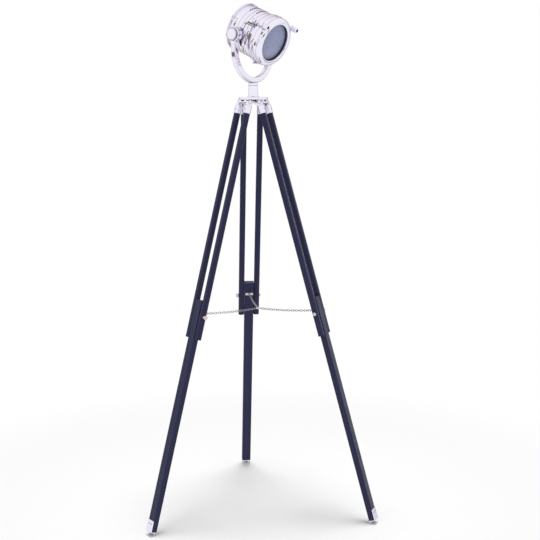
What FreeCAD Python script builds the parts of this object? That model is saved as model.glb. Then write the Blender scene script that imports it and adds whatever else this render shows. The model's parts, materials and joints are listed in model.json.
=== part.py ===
import FreeCAD, Part
import Sketcher
import math
import os
from types import SimpleNamespace

Vector = FreeCAD.Vector
Rotation = FreeCAD.Rotation
Placement = FreeCAD.Placement

# The lamp stands on z = 0 with its tripod axis on the Z axis. The rear leg points along +Y.
# Driving dimensions, in millimetres and degrees.
SIZES = {
    # Tripod layout
    "pivotRadius": 34.5,
    "legSpread": 15.74,
    "footRise": 13.07,
    "rearAzimuth": 90,
    "legCount": 3,
    # Upper leg: two rails and their capped ferrules
    "railWidth": 19,
    "railDepth": 18,
    "railCorner": 6.2,
    "railEndRound": 1.2,
    "railSpacing": 52,
    "railTop": 12,
    "railLength": 741,
    "ferruleWall": 1.2,
    "ferruleLength": 27,
    "ferruleShoulder": 2.4,
    "tongueThickness": 12,
    "tongueRadius": 6.5,
    # Lower leg, its clamp slot and the foot
    "lowerWidth": 31,
    "lowerDepth": 19,
    "lowerCorner": 1.6,
    "lowerOverlap": 122,
    "lowerLength": 733.6,
    "clampAboveEnd": 72,
    "clampSlotAbove": 41,
    "clampSlotBelow": 59,
    "clampShank": 3,
    "clampKnobRadius": 7,
    "clampKnobLength": 9,
    "clampNutRadius": 5.5,
    "clampNutHeight": 4.5,
    "clampFlutes": 14,
    "footPlateHeight": 35,
    "footPlateWall": 2,
    "footBend": 1.5,
    "glideRadius": 7,
    "glideFlat": 4.5,
    "glideBand": 3,
    "glideNeck": 5.2,
    "glideOffset": 0.5,
    # Hub plate and pivot bolts
    "hubRadius": 46.5,
    "hubThickness": 8,
    "hubEdgeRound": 2.5,
    "hubGap": 7.5,
    "lugWidth": 39,
    "lugDepth": 13,
    "boltRadius": 3,
    "boltHeadRadius": 5.5,
    "boltHeadHeight": 5.4,
    "runningGap": 0.05,
    "slidingGap": 0.3,
    # Neck and pan stud
    "bellRadius": 14.8,
    "bellFoot": 19.5,
    "bellFlare": 12,
    "bellHeight": 36,
    "bellShoulder": 5,
    "collarHeight": 8,
    "collarWaist": 12.6,
    "collarRound": 2,
    "studRadius": 4,
    "studHeadRadius": 7.5,
    "studHeadHeight": 4,
    # Yoke
    "tiltRise": 203,
    "yokeInner": 81,
    "yokeWall": 19,
    "yokeDepth": 16.7,
    "yokeBottomWall": 17,
    "yokeEdge": 3,
    "yokeBossRadius": 22,
    "yokeBossRound": 3,
    # Head pose and tilt pivots
    "headAzimuth": -42.95,
    "headTilt": 24.3,
    "drumOffset": 12,
    "tiltShank": 4,
    "tiltShankReach": 7.4,
    "tiltKnobRadius": 19.5,
    "tiltKnobWidth": 6.6,
    "tiltKnobEdge": 2,
    "tiltKnobGroove": 0.5,
    "tiltWasherGap": 0.4,
    "pivotBossRadius": 17,
    "pivotPlateHalf": 24,
    "pivotPlateWall": 2.2,
    "faceGap": 0.1,
    # Drum housing
    "drumBack": -41.6,
    "drumFront": 56,
    "grooveOne": -13,
    "grooveTwo": 2,
    "grooveThree": 14,
    "grooveFour": 28,
    "grooveFive": 41,
    "grooveRadius": 72.2,
    "bandCrown": 1,
    "drumWall": 1.2,
    "ventRowRear": -13,
    "ventRowFront": 14,
    "ventRadius": 1.9,
    "ventPitch": 7,
    "ventCount": 9,
    # Rear cover and cable gland
    "beadRadius": 77.2,
    "beadDepth": 4.6,
    "coverFlat": 52,
    "coverDepth": 14,
    "coverWall": 1.4,
    "coverSpigot": 5,
    "coverFit": 0.1,
    "glandPlace": 34,
    "glandRadius": 6,
    "glandFlange": 9,
    "glandBore": 3.6,
    "glandInside": 3,
    "glandOutside": 4,
    # Side vent covers
    "sideCoverBack": 14.5,
    "sideCoverLength": 25,
    "sideCoverStart": 61,
    "sideCoverSweep": 29,
    "sideCoverHeight": 3.6,
    "sideCoverRound": 0.8,
    # Housing screws
    "screwHead": 2.3,
    "screwHeight": 1.4,
    "screwAngle": 67,
    "screwSlot": 0.6,
    # Lamp holder, bulb and reflector
    "holderRadius": 17,
    "holderBack": -36,
    "holderLength": 22,
    "bridgeWidth": 16,
    "bridgeWall": 2,
    "bridgeLegs": 38,
    "capRadius": 13,
    "capLength": 24,
    "bulbRadius": 30,
    "bulbCentre": 24,
    "bulbNeck": 14,
    "bulbNeckRound": 22,
    "reflectorMouth": 64,
    "reflectorBack": -18,
    "reflectorHole": 20,
    "reflectorFront": 53,
    "reflectorWall": 1.6,
    # Front ring, lens, gasket and retainer
    "ringBack": 50,
    "ringFace": 92.4,
    "ringShoulder": 87.4,
    "ringFaceCrown": 0.7,
    "ringRadius": 77.5,
    "ringCrown": 0.9,
    "ringGrooveOne": 62,
    "ringGrooveTwo": 79,
    "ringNose": 73.2,
    "ringNoseRound": 9.5,
    "ringFit": 0.6,
    "lensOpening": 57.7,
    "lipRadius": 63.5,
    "lipStep": 0.8,
    "lipRound": 2.2,
    "lensRadius": 66,
    "lensPlace": 79,
    "lensThickness": 3,
    "lensFit": 0.2,
    "lensCrown": 240,
    "gasketThickness": 2,
    "gasketInner": 60.5,
    "retainerThickness": 1.6,
    "retainerInner": 61.5,
    "ringStep": 64,
    # Ring hinge
    "hingePlace": 48,
    "hingeDrop": 81,
    "knuckleRadius": 3.2,
    "hingePinRadius": 1.5,
    "hingeHalfWidth": 20,
    "knuckleHalf": 7,
    "hingeLeafLength": 17,
    "hingeLeafHeight": 2.6,
    # Ring clamp screws
    "clampAngle": 57.5,
    "clampCircle": 89,
    "lugHalf": 6.5,
    "lugRise": 6,
    "drumLugBack": 40,
    "drumLugLength": 9,
    "ringLugBack": 72,
    "ringLugLength": 9,
    "screwShank": 2.5,
    "screwTip": 43,
    "screwEntryGap": 0.5,
    "knurlRadius": 8,
    "knurlLength": 18.8,
    "knurlNeck": 5.5,
    "knurlNeckLength": 4,
    "knurlBore": 4.8,
    "knurlBoreDepth": 6,
    "knurlFlutes": 18,
    "fluteRadius": 0.7,
    # Spreader chains
    "chainAboveEnd": 81.5,
    "linkCount": 25,
    "linkWire": 0.9,
    "linkHalfWidth": 2.5,
    "linkGap": 0.12,
    "chainSag": 3,
    "chainRingRadius": 7,
    "chainRingWire": 1.2,
    "chainRingBelow": 12.2,
    "chainRingAcross": 8.8,
    "eyeRadius": 3.2,
    "eyeWire": 1.1,
    "bracketWidth": 26,
    "bracketHeight": 8,
    "bracketWall": 2,
    "bracketScrew": 2.2,
}

# What follows from them, as formulas over the sheet.
FORMULAS = {
    "railEnd": "railTop + railLength",
    "lowerTop": "railEnd - lowerOverlap",
    "clampPlace": "railEnd - clampAboveEnd",
    "chainDrop": "railEnd - chainAboveEnd",
    "pivotHeight": "(lowerTop + lowerLength) * cos(legSpread * 1deg) + footRise",
    "tiltHeight": "pivotHeight + tiltRise",
    "chainRingHeight": "pivotHeight - chainDrop * cos(legSpread * 1deg) - chainRingBelow",
}

LEG_NAMES = ("rear", "left", "right")
FULL_TURN = 360


class Size:
    """A number together with its formula over the sheet."""

    def __init__(self, number, formula=None):
        self.number = float(number)
        self.formula = formula or "(%.6f)" % self.number

    def __float__(self):
        return self.number

    def __add__(self, other):
        return join(self, other, "+", float(self) + float(other))

    def __radd__(self, other):
        return join(other, self, "+", float(other) + float(self))

    def __sub__(self, other):
        return join(self, other, "-", float(self) - float(other))

    def __rsub__(self, other):
        return join(other, self, "-", float(other) - float(self))

    def __mul__(self, other):
        return join(self, other, "*", float(self) * float(other))

    def __rmul__(self, other):
        return join(other, self, "*", float(other) * float(self))

    def __truediv__(self, other):
        return join(self, other, "/", float(self) / float(other))

    def __neg__(self):
        return join(0, self, "-", -float(self))


def join(left, right, sign, number):
    return Size(number, "(%s %s %s)" % (formula_of(left), sign, formula_of(right)))


def formula_of(quantity):
    return quantity.formula if isinstance(quantity, Size) else "(%.6f)" % quantity


def root(quantity):
    return Size(math.sqrt(float(quantity)), "sqrt(%s)" % quantity.formula)


def cosine(degrees):
    return Size(math.cos(math.radians(float(degrees))), "cos(%s * 1deg)" % formula_of(degrees))


def sine(degrees):
    return Size(math.sin(math.radians(float(degrees))), "sin(%s * 1deg)" % formula_of(degrees))


def bow(length, rise):
    """Radius of the arc that rises this much over a chord of this length."""
    return (length * length / 4 + rise * rise) / (2 * rise)


# ---- Document and sheet

doc = FreeCAD.newDocument("TripodSpotlight")
sheet = doc.addObject("Spreadsheet::Sheet", "Sizes")
cells = {name: str(number) for name, number in SIZES.items()}
cells.update({name: "=" + formula for name, formula in FORMULAS.items()})
for row, (name, content) in enumerate(cells.items(), start=1):
    sheet.set("A%d" % row, name)
    sheet.setAlias("B%d" % row, name)
    sheet.set("B%d" % row, content)
doc.recompute()
s = SimpleNamespace(**{name: Size(sheet.get(name), "Sizes." + name) for name in cells})
nodes = []


# ---- Helpers for sketches, solids and placements

def bind(thing, **properties):
    for name, quantity in properties.items():
        setattr(thing, name, float(quantity))
        if isinstance(quantity, Size):
            thing.setExpression(name, quantity.formula)


def node(thing, label, frame=Placement()):
    """Names a finished sub-part and puts it in its place."""
    thing.Label = label
    thing.Placement = frame
    nodes.append(thing)
    return thing


def at(x=0, y=0, z=0, turn=0, about=Vector(0, 0, 1)):
    return Placement(Vector(float(x), float(y), float(z)), Rotation(about, float(turn)))


def plane_of(body, role):
    return next(part for part in body.Origin.OriginFeatures if part.Role == role)


def new_sketch(body, role):
    sketch = body.newObject("Sketcher::SketchObject", body.Name + "Sketch")
    sketch.AttachmentSupport = (plane_of(body, role), [""])
    sketch.MapMode = "FlatFace"
    return sketch


def pin_point(sketch, geometry, vertex, x, y):
    for kind, quantity in (("DistanceX", x), ("DistanceY", y)):
        rule = Sketcher.Constraint(kind, -1, 1, geometry, vertex, float(quantity))
        index = sketch.addConstraint(rule)
        if isinstance(quantity, Size):
            sketch.setExpression("Constraints[%d]" % index, quantity.formula)


def arc_between(start, end, radius):
    """The short arc from start to end: a positive radius turns left, a negative one right."""
    chord = end - start
    left = Vector(-chord.y, chord.x, 0) / chord.Length
    rise = math.sqrt(max(radius * radius - chord.Length ** 2 / 4, 0))
    centre = (start + end) / 2 + left * math.copysign(rise, radius)
    circle = Part.Circle(centre, Vector(0, 0, 1), abs(radius))
    first, last = (start, end) if radius > 0 else (end, start)
    angles = [math.atan2(point.y - centre.y, point.x - centre.x) for point in (first, last)]
    if angles[1] < angles[0]:
        angles[1] += 2 * math.pi
    return Part.ArcOfCircle(circle, angles[0], angles[1])


def outline(sketch, points):
    """Closed outline through (x, y) points; a third entry is the radius of the arc that ends there."""
    ends = []
    for index, point in enumerate(points):
        before = points[index - 1]
        start = Vector(float(before[0]), float(before[1]), 0)
        end = Vector(float(point[0]), float(point[1]), 0)
        if len(point) == 3:
            radius = point[2]
            edge = sketch.addGeometry(arc_between(start, end, float(radius)))
            rule = sketch.addConstraint(Sketcher.Constraint("Radius", edge, abs(float(radius))))
            sketch.setExpression("Constraints[%d]" % rule, "abs(%s)" % formula_of(radius))
            ends.append((edge, 1, 2) if float(radius) > 0 else (edge, 2, 1))
        else:
            ends.append((sketch.addGeometry(Part.LineSegment(start, end)), 1, 2))
    for index, (edge, first, last) in enumerate(ends):
        following, its_first, _ = ends[(index + 1) % len(ends)]
        sketch.addConstraint(Sketcher.Constraint("Coincident", edge, last, following, its_first))
        pin_point(sketch, edge, last, points[index][0], points[index][1])


def turned(name, points, angle=FULL_TURN):
    """A body turned about Z from (radius, height) points."""
    body = doc.addObject("PartDesign::Body", name)
    sketch = new_sketch(body, "XZ_Plane")
    outline(sketch, points)
    solid = body.newObject("PartDesign::Revolution", name + "Turn")
    solid.Profile = sketch
    solid.ReferenceAxis = (sketch, ["V_Axis"])
    bind(solid, Angle=angle)
    doc.recompute()
    return body


def padded(name, points, length, role="XY_Plane", symmetric=True):
    """A body padded from an outline on one of its planes."""
    body = doc.addObject("PartDesign::Body", name)
    sketch = new_sketch(body, role)
    outline(sketch, points)
    solid = body.newObject("PartDesign::Pad", name + "Pad")
    solid.Profile = sketch
    solid.SideType = "Symmetric" if symmetric else "One side"
    bind(solid, Length=length)
    doc.recompute()
    return body


def rounded(body, radius, chosen):
    """Fillets the edges of a body that the test picks out."""
    sharp = body.Tip
    names = ["Edge%d" % (i + 1) for i, edge in enumerate(sharp.Shape.Edges) if chosen(edge)]
    fillet = body.newObject("PartDesign::Fillet", body.Name + "Round")
    fillet.Base = (sharp, names)
    bind(fillet, Radius=radius)
    doc.recompute()
    return body


def is_upright(edge):
    low, high = edge.BoundBox.ZMin, edge.BoundBox.ZMax
    return high - low > 0.99 * edge.Length and edge.Curve.TypeId == "Part::GeomLine"


def rectangle(half_x, half_y):
    return [(half_x, -half_y), (half_x, half_y), (-half_x, half_y), (-half_x, -half_y)]


def bar(name, depth, width, length, corner, end_round=None):
    """A rounded bar hanging down from z = 0."""
    body = padded(name, rectangle(depth / 2, width / 2), length, symmetric=False)
    body.Tip.Reversed = True
    doc.recompute()
    rounded(body, corner, is_upright)
    if end_round is not None:
        rounded(body, end_round, lambda edge: edge.BoundBox.ZLength < 0.001)
    return body


def box(name, x, y, z, place):
    """A box centred on x and y, rising from its place."""
    solid = doc.addObject("Part::Box", name)
    bind(solid, Length=x, Width=y, Height=z)
    solid.Placement = place.multiply(at(-float(x) / 2, -float(y) / 2))
    return solid


def cylinder(name, radius, height, place=Placement()):
    solid = doc.addObject("Part::Cylinder", name)
    bind(solid, Radius=radius, Height=height)
    solid.Placement = place
    return solid


def torus(name, major, minor, place=Placement()):
    solid = doc.addObject("Part::Torus", name)
    bind(solid, Radius1=major, Radius2=minor)
    solid.Placement = place
    return solid


def fused(name, *solids):
    result = doc.addObject("Part::MultiFuse", name)
    result.Shapes = list(solids)
    result.Refine = True
    doc.recompute()
    return result


def cut(name, base, tool):
    result = doc.addObject("Part::Cut", name)
    result.Base = base
    result.Tool = tool
    doc.recompute()
    return result


def grouped(name, *solids):
    result = doc.addObject("Part::Compound", name)
    result.Links = list(solids)
    doc.recompute()
    return result


def along_y(x=0, y=0, z=0):
    """A place whose Z axis points along +Y."""
    return Placement(Vector(float(x), float(y), float(z)), Rotation(Vector(1, 0, 0), -90))


def along_x(x=0, y=0, z=0):
    """A place whose Z axis points along +X, and whose X axis points down."""
    return Placement(Vector(float(x), float(y), float(z)), Rotation(Vector(0, 1, 0), 90))


def fluted(name, base, radius, count, bottom, top):
    """Cuts upright flutes round a knob."""
    flutes = []
    for index in range(int(float(count))):
        turn = at(turn=FULL_TURN / float(count) * index)
        place = turn.multiply(at(radius, 0, bottom))
        flutes.append(cylinder("%sFlute%d" % (name, index), s.fluteRadius, top - bottom, place))
    return cut(name, base, grouped(name + "Flutes", *flutes))


# ---- Frames

def radial_frame(index):
    """Turns X towards a leg."""
    return at(turn=float(s.rearAzimuth) + index * FULL_TURN / float(s.legCount))


def leg_frame(index):
    """Origin on a leg's pivot: X is the leg's outer side, Y across it, Z up along it."""
    pivot = at(s.pivotRadius, 0, s.pivotHeight, -float(s.legSpread), Vector(0, 1, 0))
    return radial_frame(index).multiply(pivot)


yoke_frame = at(0, 0, s.tiltHeight, s.headAzimuth)
head_frame = yoke_frame.multiply(at(turn=s.headTilt, about=Vector(0, 1, 0)))
# Drum frame: Z forward along the drum's axis, X down, Y across the head.
drum_frame = head_frame.multiply(along_x(0, 0, s.drumOffset))


def on_drum(angle, radius=0, height=0):
    """A place on the drum, its X axis pointing outward; the angle runs from the top."""
    turn = at(0, 0, height, FULL_TURN / 2 + float(angle))
    return turn.multiply(at(radius))


# ---- Hub, neck and pivot bolts

plate_bottom = s.pivotHeight + s.hubGap
plate_top = plate_bottom + s.hubThickness


def make_hub():
    plate = turned("HubDisc", [
        (Size(0), plate_bottom),
        (s.hubRadius - s.hubEdgeRound / 2, plate_bottom),
        (s.hubRadius, plate_bottom + s.hubEdgeRound / 2, s.hubEdgeRound / 2),
        (s.hubRadius, plate_top - s.hubEdgeRound),
        (s.hubRadius - s.hubEdgeRound, plate_top, s.hubEdgeRound),
        (Size(0), plate_top)])
    solids = [plate]
    holes = [cylinder("StudHole", s.studRadius, s.hubThickness, at(0, 0, plate_bottom))]
    for index in range(len(LEG_NAMES)):
        radial = radial_frame(index)
        lug_place = radial.multiply(at(s.pivotRadius, 0, s.pivotHeight))
        lug_rise = s.hubGap + s.hubThickness / 2
        solids.append(box("Lug%d" % index, s.lugDepth, s.lugWidth, lug_rise, lug_place))
        across = radial.multiply(along_y(s.pivotRadius, -s.lugWidth / 2, s.pivotHeight))
        solids.append(cylinder("LugEnd%d" % index, s.lugDepth / 2, s.lugWidth, across))
        hole = s.boltRadius + s.runningGap
        holes.append(cylinder("LugHole%d" % index, hole, s.lugWidth, across))
    node(cut("Hub", fused("HubBody", *solids), grouped("HubHoles", *holes)), "hub_plate")


def dome(head, start, height):
    """Points of a domed head from its flat face out to its middle."""
    return [(head, start), (head, start + height / 3), (Size(0), start + height, bow(head * 2, height * 2 / 3))]


def make_pivot_bolts():
    grip = s.lugWidth / 2 + s.tongueThickness + s.slidingGap * 2 + s.slidingGap
    bolts = []
    for index in range(len(LEG_NAMES)):
        head = dome(s.boltHeadRadius, grip, s.boltHeadHeight)
        tail = [(s.boltHeadRadius, -grip - s.boltHeadHeight / 3), (s.boltHeadRadius, -grip)]
        crown = bow(s.boltHeadRadius * 2, s.boltHeadHeight * 2 / 3)
        lower = [(Size(0), -grip - s.boltHeadHeight), (*tail[0], crown), tail[1]]
        shank = [(s.boltRadius, -grip), (s.boltRadius, grip)]
        body = turned("PivotBolt%d" % index, lower + shank + head)
        place = radial_frame(index).multiply(along_y(s.pivotRadius, 0, s.pivotHeight))
        body.Placement = place
        bolts.append(body)
    node(grouped("PivotBolts", *bolts), "pivot_bolts")


bell_top = plate_top + s.bellHeight
collar_top = bell_top + s.collarHeight


def make_neck():
    shoulder = s.bellRadius - s.bellShoulder / 2
    flare_radius = (s.bellFlare * s.bellFlare + (s.bellFoot - s.bellRadius) * (s.bellFoot - s.bellRadius))
    flare = flare_radius / (2 * (s.bellFoot - s.bellRadius))
    bell = turned("Bell", [
        (s.studRadius + s.runningGap, plate_top),
        (s.bellFoot, plate_top),
        (s.bellRadius, plate_top + s.bellFlare, -flare),
        (s.bellRadius, bell_top - s.bellShoulder / 2),
        (shoulder, bell_top, s.bellShoulder / 2),
        (s.studRadius + s.runningGap, bell_top)])
    node(bell, "neck_bell")
    head_bottom = collar_top + s.yokeBottomWall - s.studHeadHeight
    stud = turned("PanStud", [
        (Size(0), plate_bottom),
        (s.studRadius, plate_bottom),
        (s.studRadius, head_bottom),
        (s.studHeadRadius, head_bottom),
        (s.studHeadRadius, head_bottom + s.studHeadHeight / 2),
        (Size(0), head_bottom + s.studHeadHeight)])
    node(stud, "pan_stud")


# ---- Yoke with its collar and tilt knobs

def make_collar():
    waist = (s.bellRadius - s.collarWaist)
    body = turned("Collar", [
        (s.studRadius + s.runningGap, bell_top),
        (s.collarWaist, bell_top),
        (s.bellRadius, bell_top + s.collarRound, bow(root(waist * waist + s.collarRound * s.collarRound),
                                                     s.collarRound / 3)),
        (s.bellRadius, collar_top - s.collarRound),
        (s.collarWaist, collar_top, bow(root(waist * waist + s.collarRound * s.collarRound),
                                        s.collarRound / 3)),
        (s.studRadius + s.runningGap, collar_top)])
    node(body, "yoke_collar")


def make_yoke():
    inner = s.yokeInner
    outer = inner + s.yokeWall
    bottom = collar_top - s.tiltHeight
    seat = bottom + s.yokeBottomWall
    top = Size(0)
    strap = padded("YokeStrap", [
        (inner, top),
        (outer, top),
        (outer, bottom + outer),
        (Size(0), bottom, -outer),
        (-outer, bottom + outer, -outer),
        (-outer, top),
        (-inner, top),
        (-inner, seat + inner),
        (Size(0), seat, inner),
        (inner, seat + inner, inner)], s.yokeDepth, "YZ_Plane")
    limit = float(s.yokeDepth) / 2
    rounded(strap, s.yokeEdge, lambda edge: abs(abs(edge.CenterOfMass.x) - limit) < 0.001
            and edge.BoundBox.XLength < 0.001 and edge.CenterOfMass.z < -0.001)
    solids = [strap]
    holes = [cylinder("PanHole", s.studRadius + s.runningGap, s.yokeBottomWall * 2, at(0, 0, bottom - 1)),
             cylinder("PanSink", s.studHeadRadius + s.slidingGap, s.yokeBottomWall,
                      at(0, 0, bottom + s.yokeBottomWall - s.studHeadHeight - s.runningGap))]
    for side_name, turn in (("Far", 0), ("Near", FULL_TURN / 2)):
        place = at(turn=turn).multiply(along_y(0, s.yokeInner, 0))
        boss = turned("YokeBoss" + side_name, [
            (Size(0), Size(0)),
            (s.yokeBossRadius, Size(0)),
            (s.yokeBossRadius, s.yokeWall - s.yokeBossRound),
            (s.yokeBossRadius - s.yokeBossRound, s.yokeWall, s.yokeBossRound),
            (Size(0), s.yokeWall)])
        boss.Placement = place
        solids.append(boss)
        holes.append(cylinder("TiltHole" + side_name, s.tiltShank + s.runningGap, s.yokeWall, place))
    node(cut("Yoke", fused("YokeBody", *solids), grouped("YokeHoles", *holes)), "yoke", yoke_frame)


def make_tilt_knobs():
    """A knob cap on each side, its shank running through the yoke into the pivot boss."""
    face = s.yokeWall + s.tiltWasherGap
    edge = s.tiltKnobEdge
    for name, turn in (("far", 0), ("near", FULL_TURN / 2)):
        rim = face + s.tiltKnobWidth - edge
        knob = turned("TiltKnob" + name, [
            (Size(0), -s.tiltShankReach + s.runningGap),
            (s.tiltShank, -s.tiltShankReach + s.runningGap),
            (s.tiltShank, face),
            (s.tiltKnobRadius, face),
            (s.tiltKnobRadius, face + edge),
            (s.tiltKnobRadius - s.tiltKnobGroove, face + edge + s.tiltKnobGroove),
            (s.tiltKnobRadius, face + edge + s.tiltKnobGroove * 2),
            (s.tiltKnobRadius, rim),
            (s.tiltKnobRadius - edge, rim + edge, edge),
            (Size(0), rim + edge + s.tiltKnobGroove)])
        place = yoke_frame.multiply(at(turn=turn)).multiply(along_y(0, s.yokeInner, 0))
        node(knob, "tilt_knob_" + name, place)


# ---- Drum housing

crown_radius = s.grooveRadius + s.bandCrown
drum_inner = s.grooveRadius - s.drumWall


def banded(stations, radius, crown):
    """Outline points of convex bands between grooves, along a turned wall."""
    points = [(radius, stations[0])]
    for start, end in zip(stations, stations[1:]):
        points.append((radius, end, bow(end - start, crown)))
    return points


def make_drum():
    stations = [s.drumBack, s.grooveOne, s.grooveTwo, s.grooveThree, s.grooveFour, s.grooveFive]
    wall = banded(stations, s.grooveRadius, s.bandCrown)
    ends = [(s.grooveRadius, s.drumFront), (drum_inner, s.drumFront), (drum_inner, s.drumBack)]
    shell = turned("DrumShell", wall + ends)
    holes = []
    for row in (s.ventRowRear, s.ventRowFront):
        for index in range(int(float(s.ventCount))):
            angle = (index - (float(s.ventCount) - 1) / 2) * float(s.ventPitch)
            place = on_drum(angle, drum_inner - s.drumWall, row).multiply(along_x())
            holes.append(cylinder("Vent", s.ventRadius, s.drumWall * 5, place))
    node(cut("Drum", shell, grouped("VentHoles", *holes)), "drum_shell", drum_frame)


def make_rear_cover():
    back = s.drumBack - s.coverDepth
    bead = s.drumBack - s.beadDepth
    plain = s.grooveRadius - s.coverWall
    curve = bow(root((plain - s.coverFlat) * (plain - s.coverFlat)
                     + (bead - back) * (bead - back)), (bead - back) / 4)
    fit = drum_inner - s.coverFit
    body = turned("RearPan", [
        (Size(0), back),
        (s.coverFlat, back),
        (plain, bead, curve),
        (s.beadRadius - s.beadDepth / 2, bead),
        (s.beadRadius, s.drumBack - s.beadDepth / 2, s.beadDepth / 2),
        (s.beadRadius - s.beadDepth / 2, s.drumBack, s.beadDepth / 2),
        (fit, s.drumBack),
        (fit, s.drumBack + s.coverSpigot),
        (fit - s.coverWall, s.drumBack + s.coverSpigot),
        (fit - s.coverWall, bead + s.coverWall),
        (s.coverFlat - s.coverWall / 2, back + s.coverWall, -curve),
        (Size(0), back + s.coverWall)])
    hole = cylinder("GlandHole", s.glandRadius, s.coverWall, at(s.glandPlace, 0, back))
    node(cut("RearCover", body, hole), "rear_cover", drum_frame)
    gland = turned("Gland", [
        (s.glandBore, -s.glandOutside),
        (s.glandFlange - s.glandOutside / 2, -s.glandOutside),
        (s.glandFlange, -s.glandOutside / 2, s.glandOutside / 2),
        (s.glandFlange, Size(0)),
        (s.glandRadius, Size(0)),
        (s.glandRadius, s.coverWall),
        (s.glandFlange, s.coverWall),
        (s.glandFlange - s.glandInside / 3, s.coverWall + s.glandInside),
        (s.glandBore, s.coverWall + s.glandInside)])
    node(gland, "cable_gland", drum_frame.multiply(at(s.glandPlace, 0, back)))


def make_side_covers():
    covers = []
    low = Size(0)
    high = s.sideCoverHeight
    soft = s.sideCoverRound
    for name, start in (("Near", s.sideCoverStart), ("Far", -s.sideCoverStart - s.sideCoverSweep)):
        cover = turned("SideCover" + name, [
            (crown_radius, low),
            (crown_radius + high - soft, low),
            (crown_radius + high, soft, soft),
            (crown_radius + high, s.sideCoverLength - soft),
            (crown_radius + high - soft, s.sideCoverLength, soft),
            (crown_radius, s.sideCoverLength)], s.sideCoverSweep)
        cover.Placement = on_drum(start, 0, s.sideCoverBack)
        covers.append(cover)
    node(grouped("SideCovers", *covers), "side_covers", drum_frame)


def screw_head(name, place):
    head = turned(name, dome(s.screwHead, Size(0), s.screwHeight) + [(Size(0), Size(0))])
    slot = box(name + "Slot", s.screwHead * 2, s.screwSlot, s.screwHeight,
               at(0, 0, s.screwHeight / 2))
    screw = cut(name + "Screw", head, slot)
    screw.Placement = place
    return screw


def make_housing_screws():
    """Screws round the drum's bands and on the rolled bead of the rear cover."""
    screws = []
    mid_rear = (s.drumBack + s.grooveOne) / 2
    mid_front = (s.grooveTwo + s.grooveThree) / 2
    bead_middle = s.drumBack - s.beadDepth / 2
    for index, sign in enumerate((1, -1)):
        for place_name, height, radius in (("Rear", mid_rear, crown_radius),
                                           ("Front", mid_front, crown_radius),
                                           ("Bead", bead_middle, s.beadRadius)):
            seat = on_drum(sign * float(s.screwAngle), radius, height).multiply(along_x())
            screws.append(screw_head("%sScrew%d" % (place_name, index), seat))
        under = on_drum(FULL_TURN / 2 - sign * float(s.screwAngle), s.beadRadius, bead_middle)
        screws.append(screw_head("LowScrew%d" % index, under.multiply(along_x())))
    node(grouped("HousingScrews", *screws), "housing_screws", drum_frame)


def make_pivot_bosses():
    """A saddle plate and boss on each side of the drum, facing the yoke."""
    bosses = []
    end = s.yokeInner - s.faceGap
    start = drum_inner - s.pivotPlateWall * 5
    plate_end = crown_radius + s.pivotPlateWall / 2
    half = s.pivotPlateHalf
    drum_middle = along_x(-s.drumFront, 0, s.drumOffset)
    for name, turn in (("Far", 0), ("Near", FULL_TURN / 2)):
        side = at(turn=turn).multiply(along_y(0, start, 0))
        round_part = cylinder("Boss" + name, s.pivotBossRadius, end - start, side)
        plate = box("Saddle" + name, half, half * 2, plate_end - start, side)
        drum = cylinder("DrumSpace" + name, crown_radius, s.drumFront * 2, drum_middle)
        reach = s.tiltShankReach + s.faceGap
        hole = cylinder("ShankHole" + name, s.tiltShank + s.runningGap, reach,
                        at(turn=turn).multiply(along_y(0, s.yokeInner - reach, 0)))
        body = cut("BossBody" + name, fused("BossSolid" + name, round_part, plate), drum)
        bosses.append(cut("PivotBoss" + name, body, hole))
    node(grouped("PivotBosses", *bosses), "pivot_bosses", head_frame)


# ---- Lamp holder, bulb and reflector

def make_lamp():
    back = s.drumBack - s.coverDepth + s.coverWall
    bridge_top = s.holderBack
    wall = s.bridgeWall
    foot = wall * 5
    inner = s.bridgeLegs - wall
    bridge = padded("Bridge", [
        (-s.bridgeLegs - foot, back),
        (-inner, back),
        (-inner, bridge_top - wall),
        (inner, bridge_top - wall),
        (inner, back),
        (s.bridgeLegs + foot, back),
        (s.bridgeLegs + foot, back + wall),
        (s.bridgeLegs, back + wall),
        (s.bridgeLegs, bridge_top),
        (-s.bridgeLegs, bridge_top),
        (-s.bridgeLegs, back + wall),
        (-s.bridgeLegs - foot, back + wall)], s.bridgeWidth, "XZ_Plane")
    node(bridge, "holder_bridge", drum_frame.multiply(at(turn=FULL_TURN / 4)))
    holder_top = s.holderBack + s.holderLength
    cap_back = holder_top - s.capLength / 2
    fit = s.capRadius + s.runningGap
    holder = turned("Holder", [
        (Size(0), s.holderBack),
        (s.holderRadius * 3 / 4, s.holderBack),
        (s.holderRadius, s.holderBack + s.holderRadius / 4),
        (s.holderRadius, holder_top),
        (fit, holder_top),
        (fit, cap_back),
        (Size(0), cap_back)])
    node(holder, "lamp_holder", drum_frame)
    cap_top = cap_back + s.capLength
    cap = turned("BulbCap", [
        (Size(0), cap_back),
        (s.capRadius / 3, cap_back),
        (s.capRadius, cap_back + s.capLength / 4),
        (s.capRadius, cap_top),
        (Size(0), cap_top)])
    node(cap, "bulb_cap", drum_frame)
    neck = s.bulbNeck - 1
    drop = root(s.bulbRadius * s.bulbRadius - s.bulbNeck * s.bulbNeck * 2)
    waist = s.bulbNeck * math.sqrt(2)
    glass = turned("BulbGlass", [
        (Size(0), cap_top),
        (neck, cap_top),
        (waist, s.bulbCentre - drop, -s.bulbNeckRound),
        (s.bulbRadius, s.bulbCentre, s.bulbRadius),
        (Size(0), s.bulbCentre + s.bulbRadius, s.bulbRadius)])
    node(glass, "bulb_glass", drum_frame)


def dish(near, far):
    """Radius of the arc through two points of a profile whose centre lies on the axis."""
    centre = (far[0] * far[0] + far[1] * far[1] - near[0] * near[0] - near[1] * near[1]) / (
        (far[1] - near[1]) * 2)
    return root(far[0] * far[0] + (far[1] - centre) * (far[1] - centre))


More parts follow.
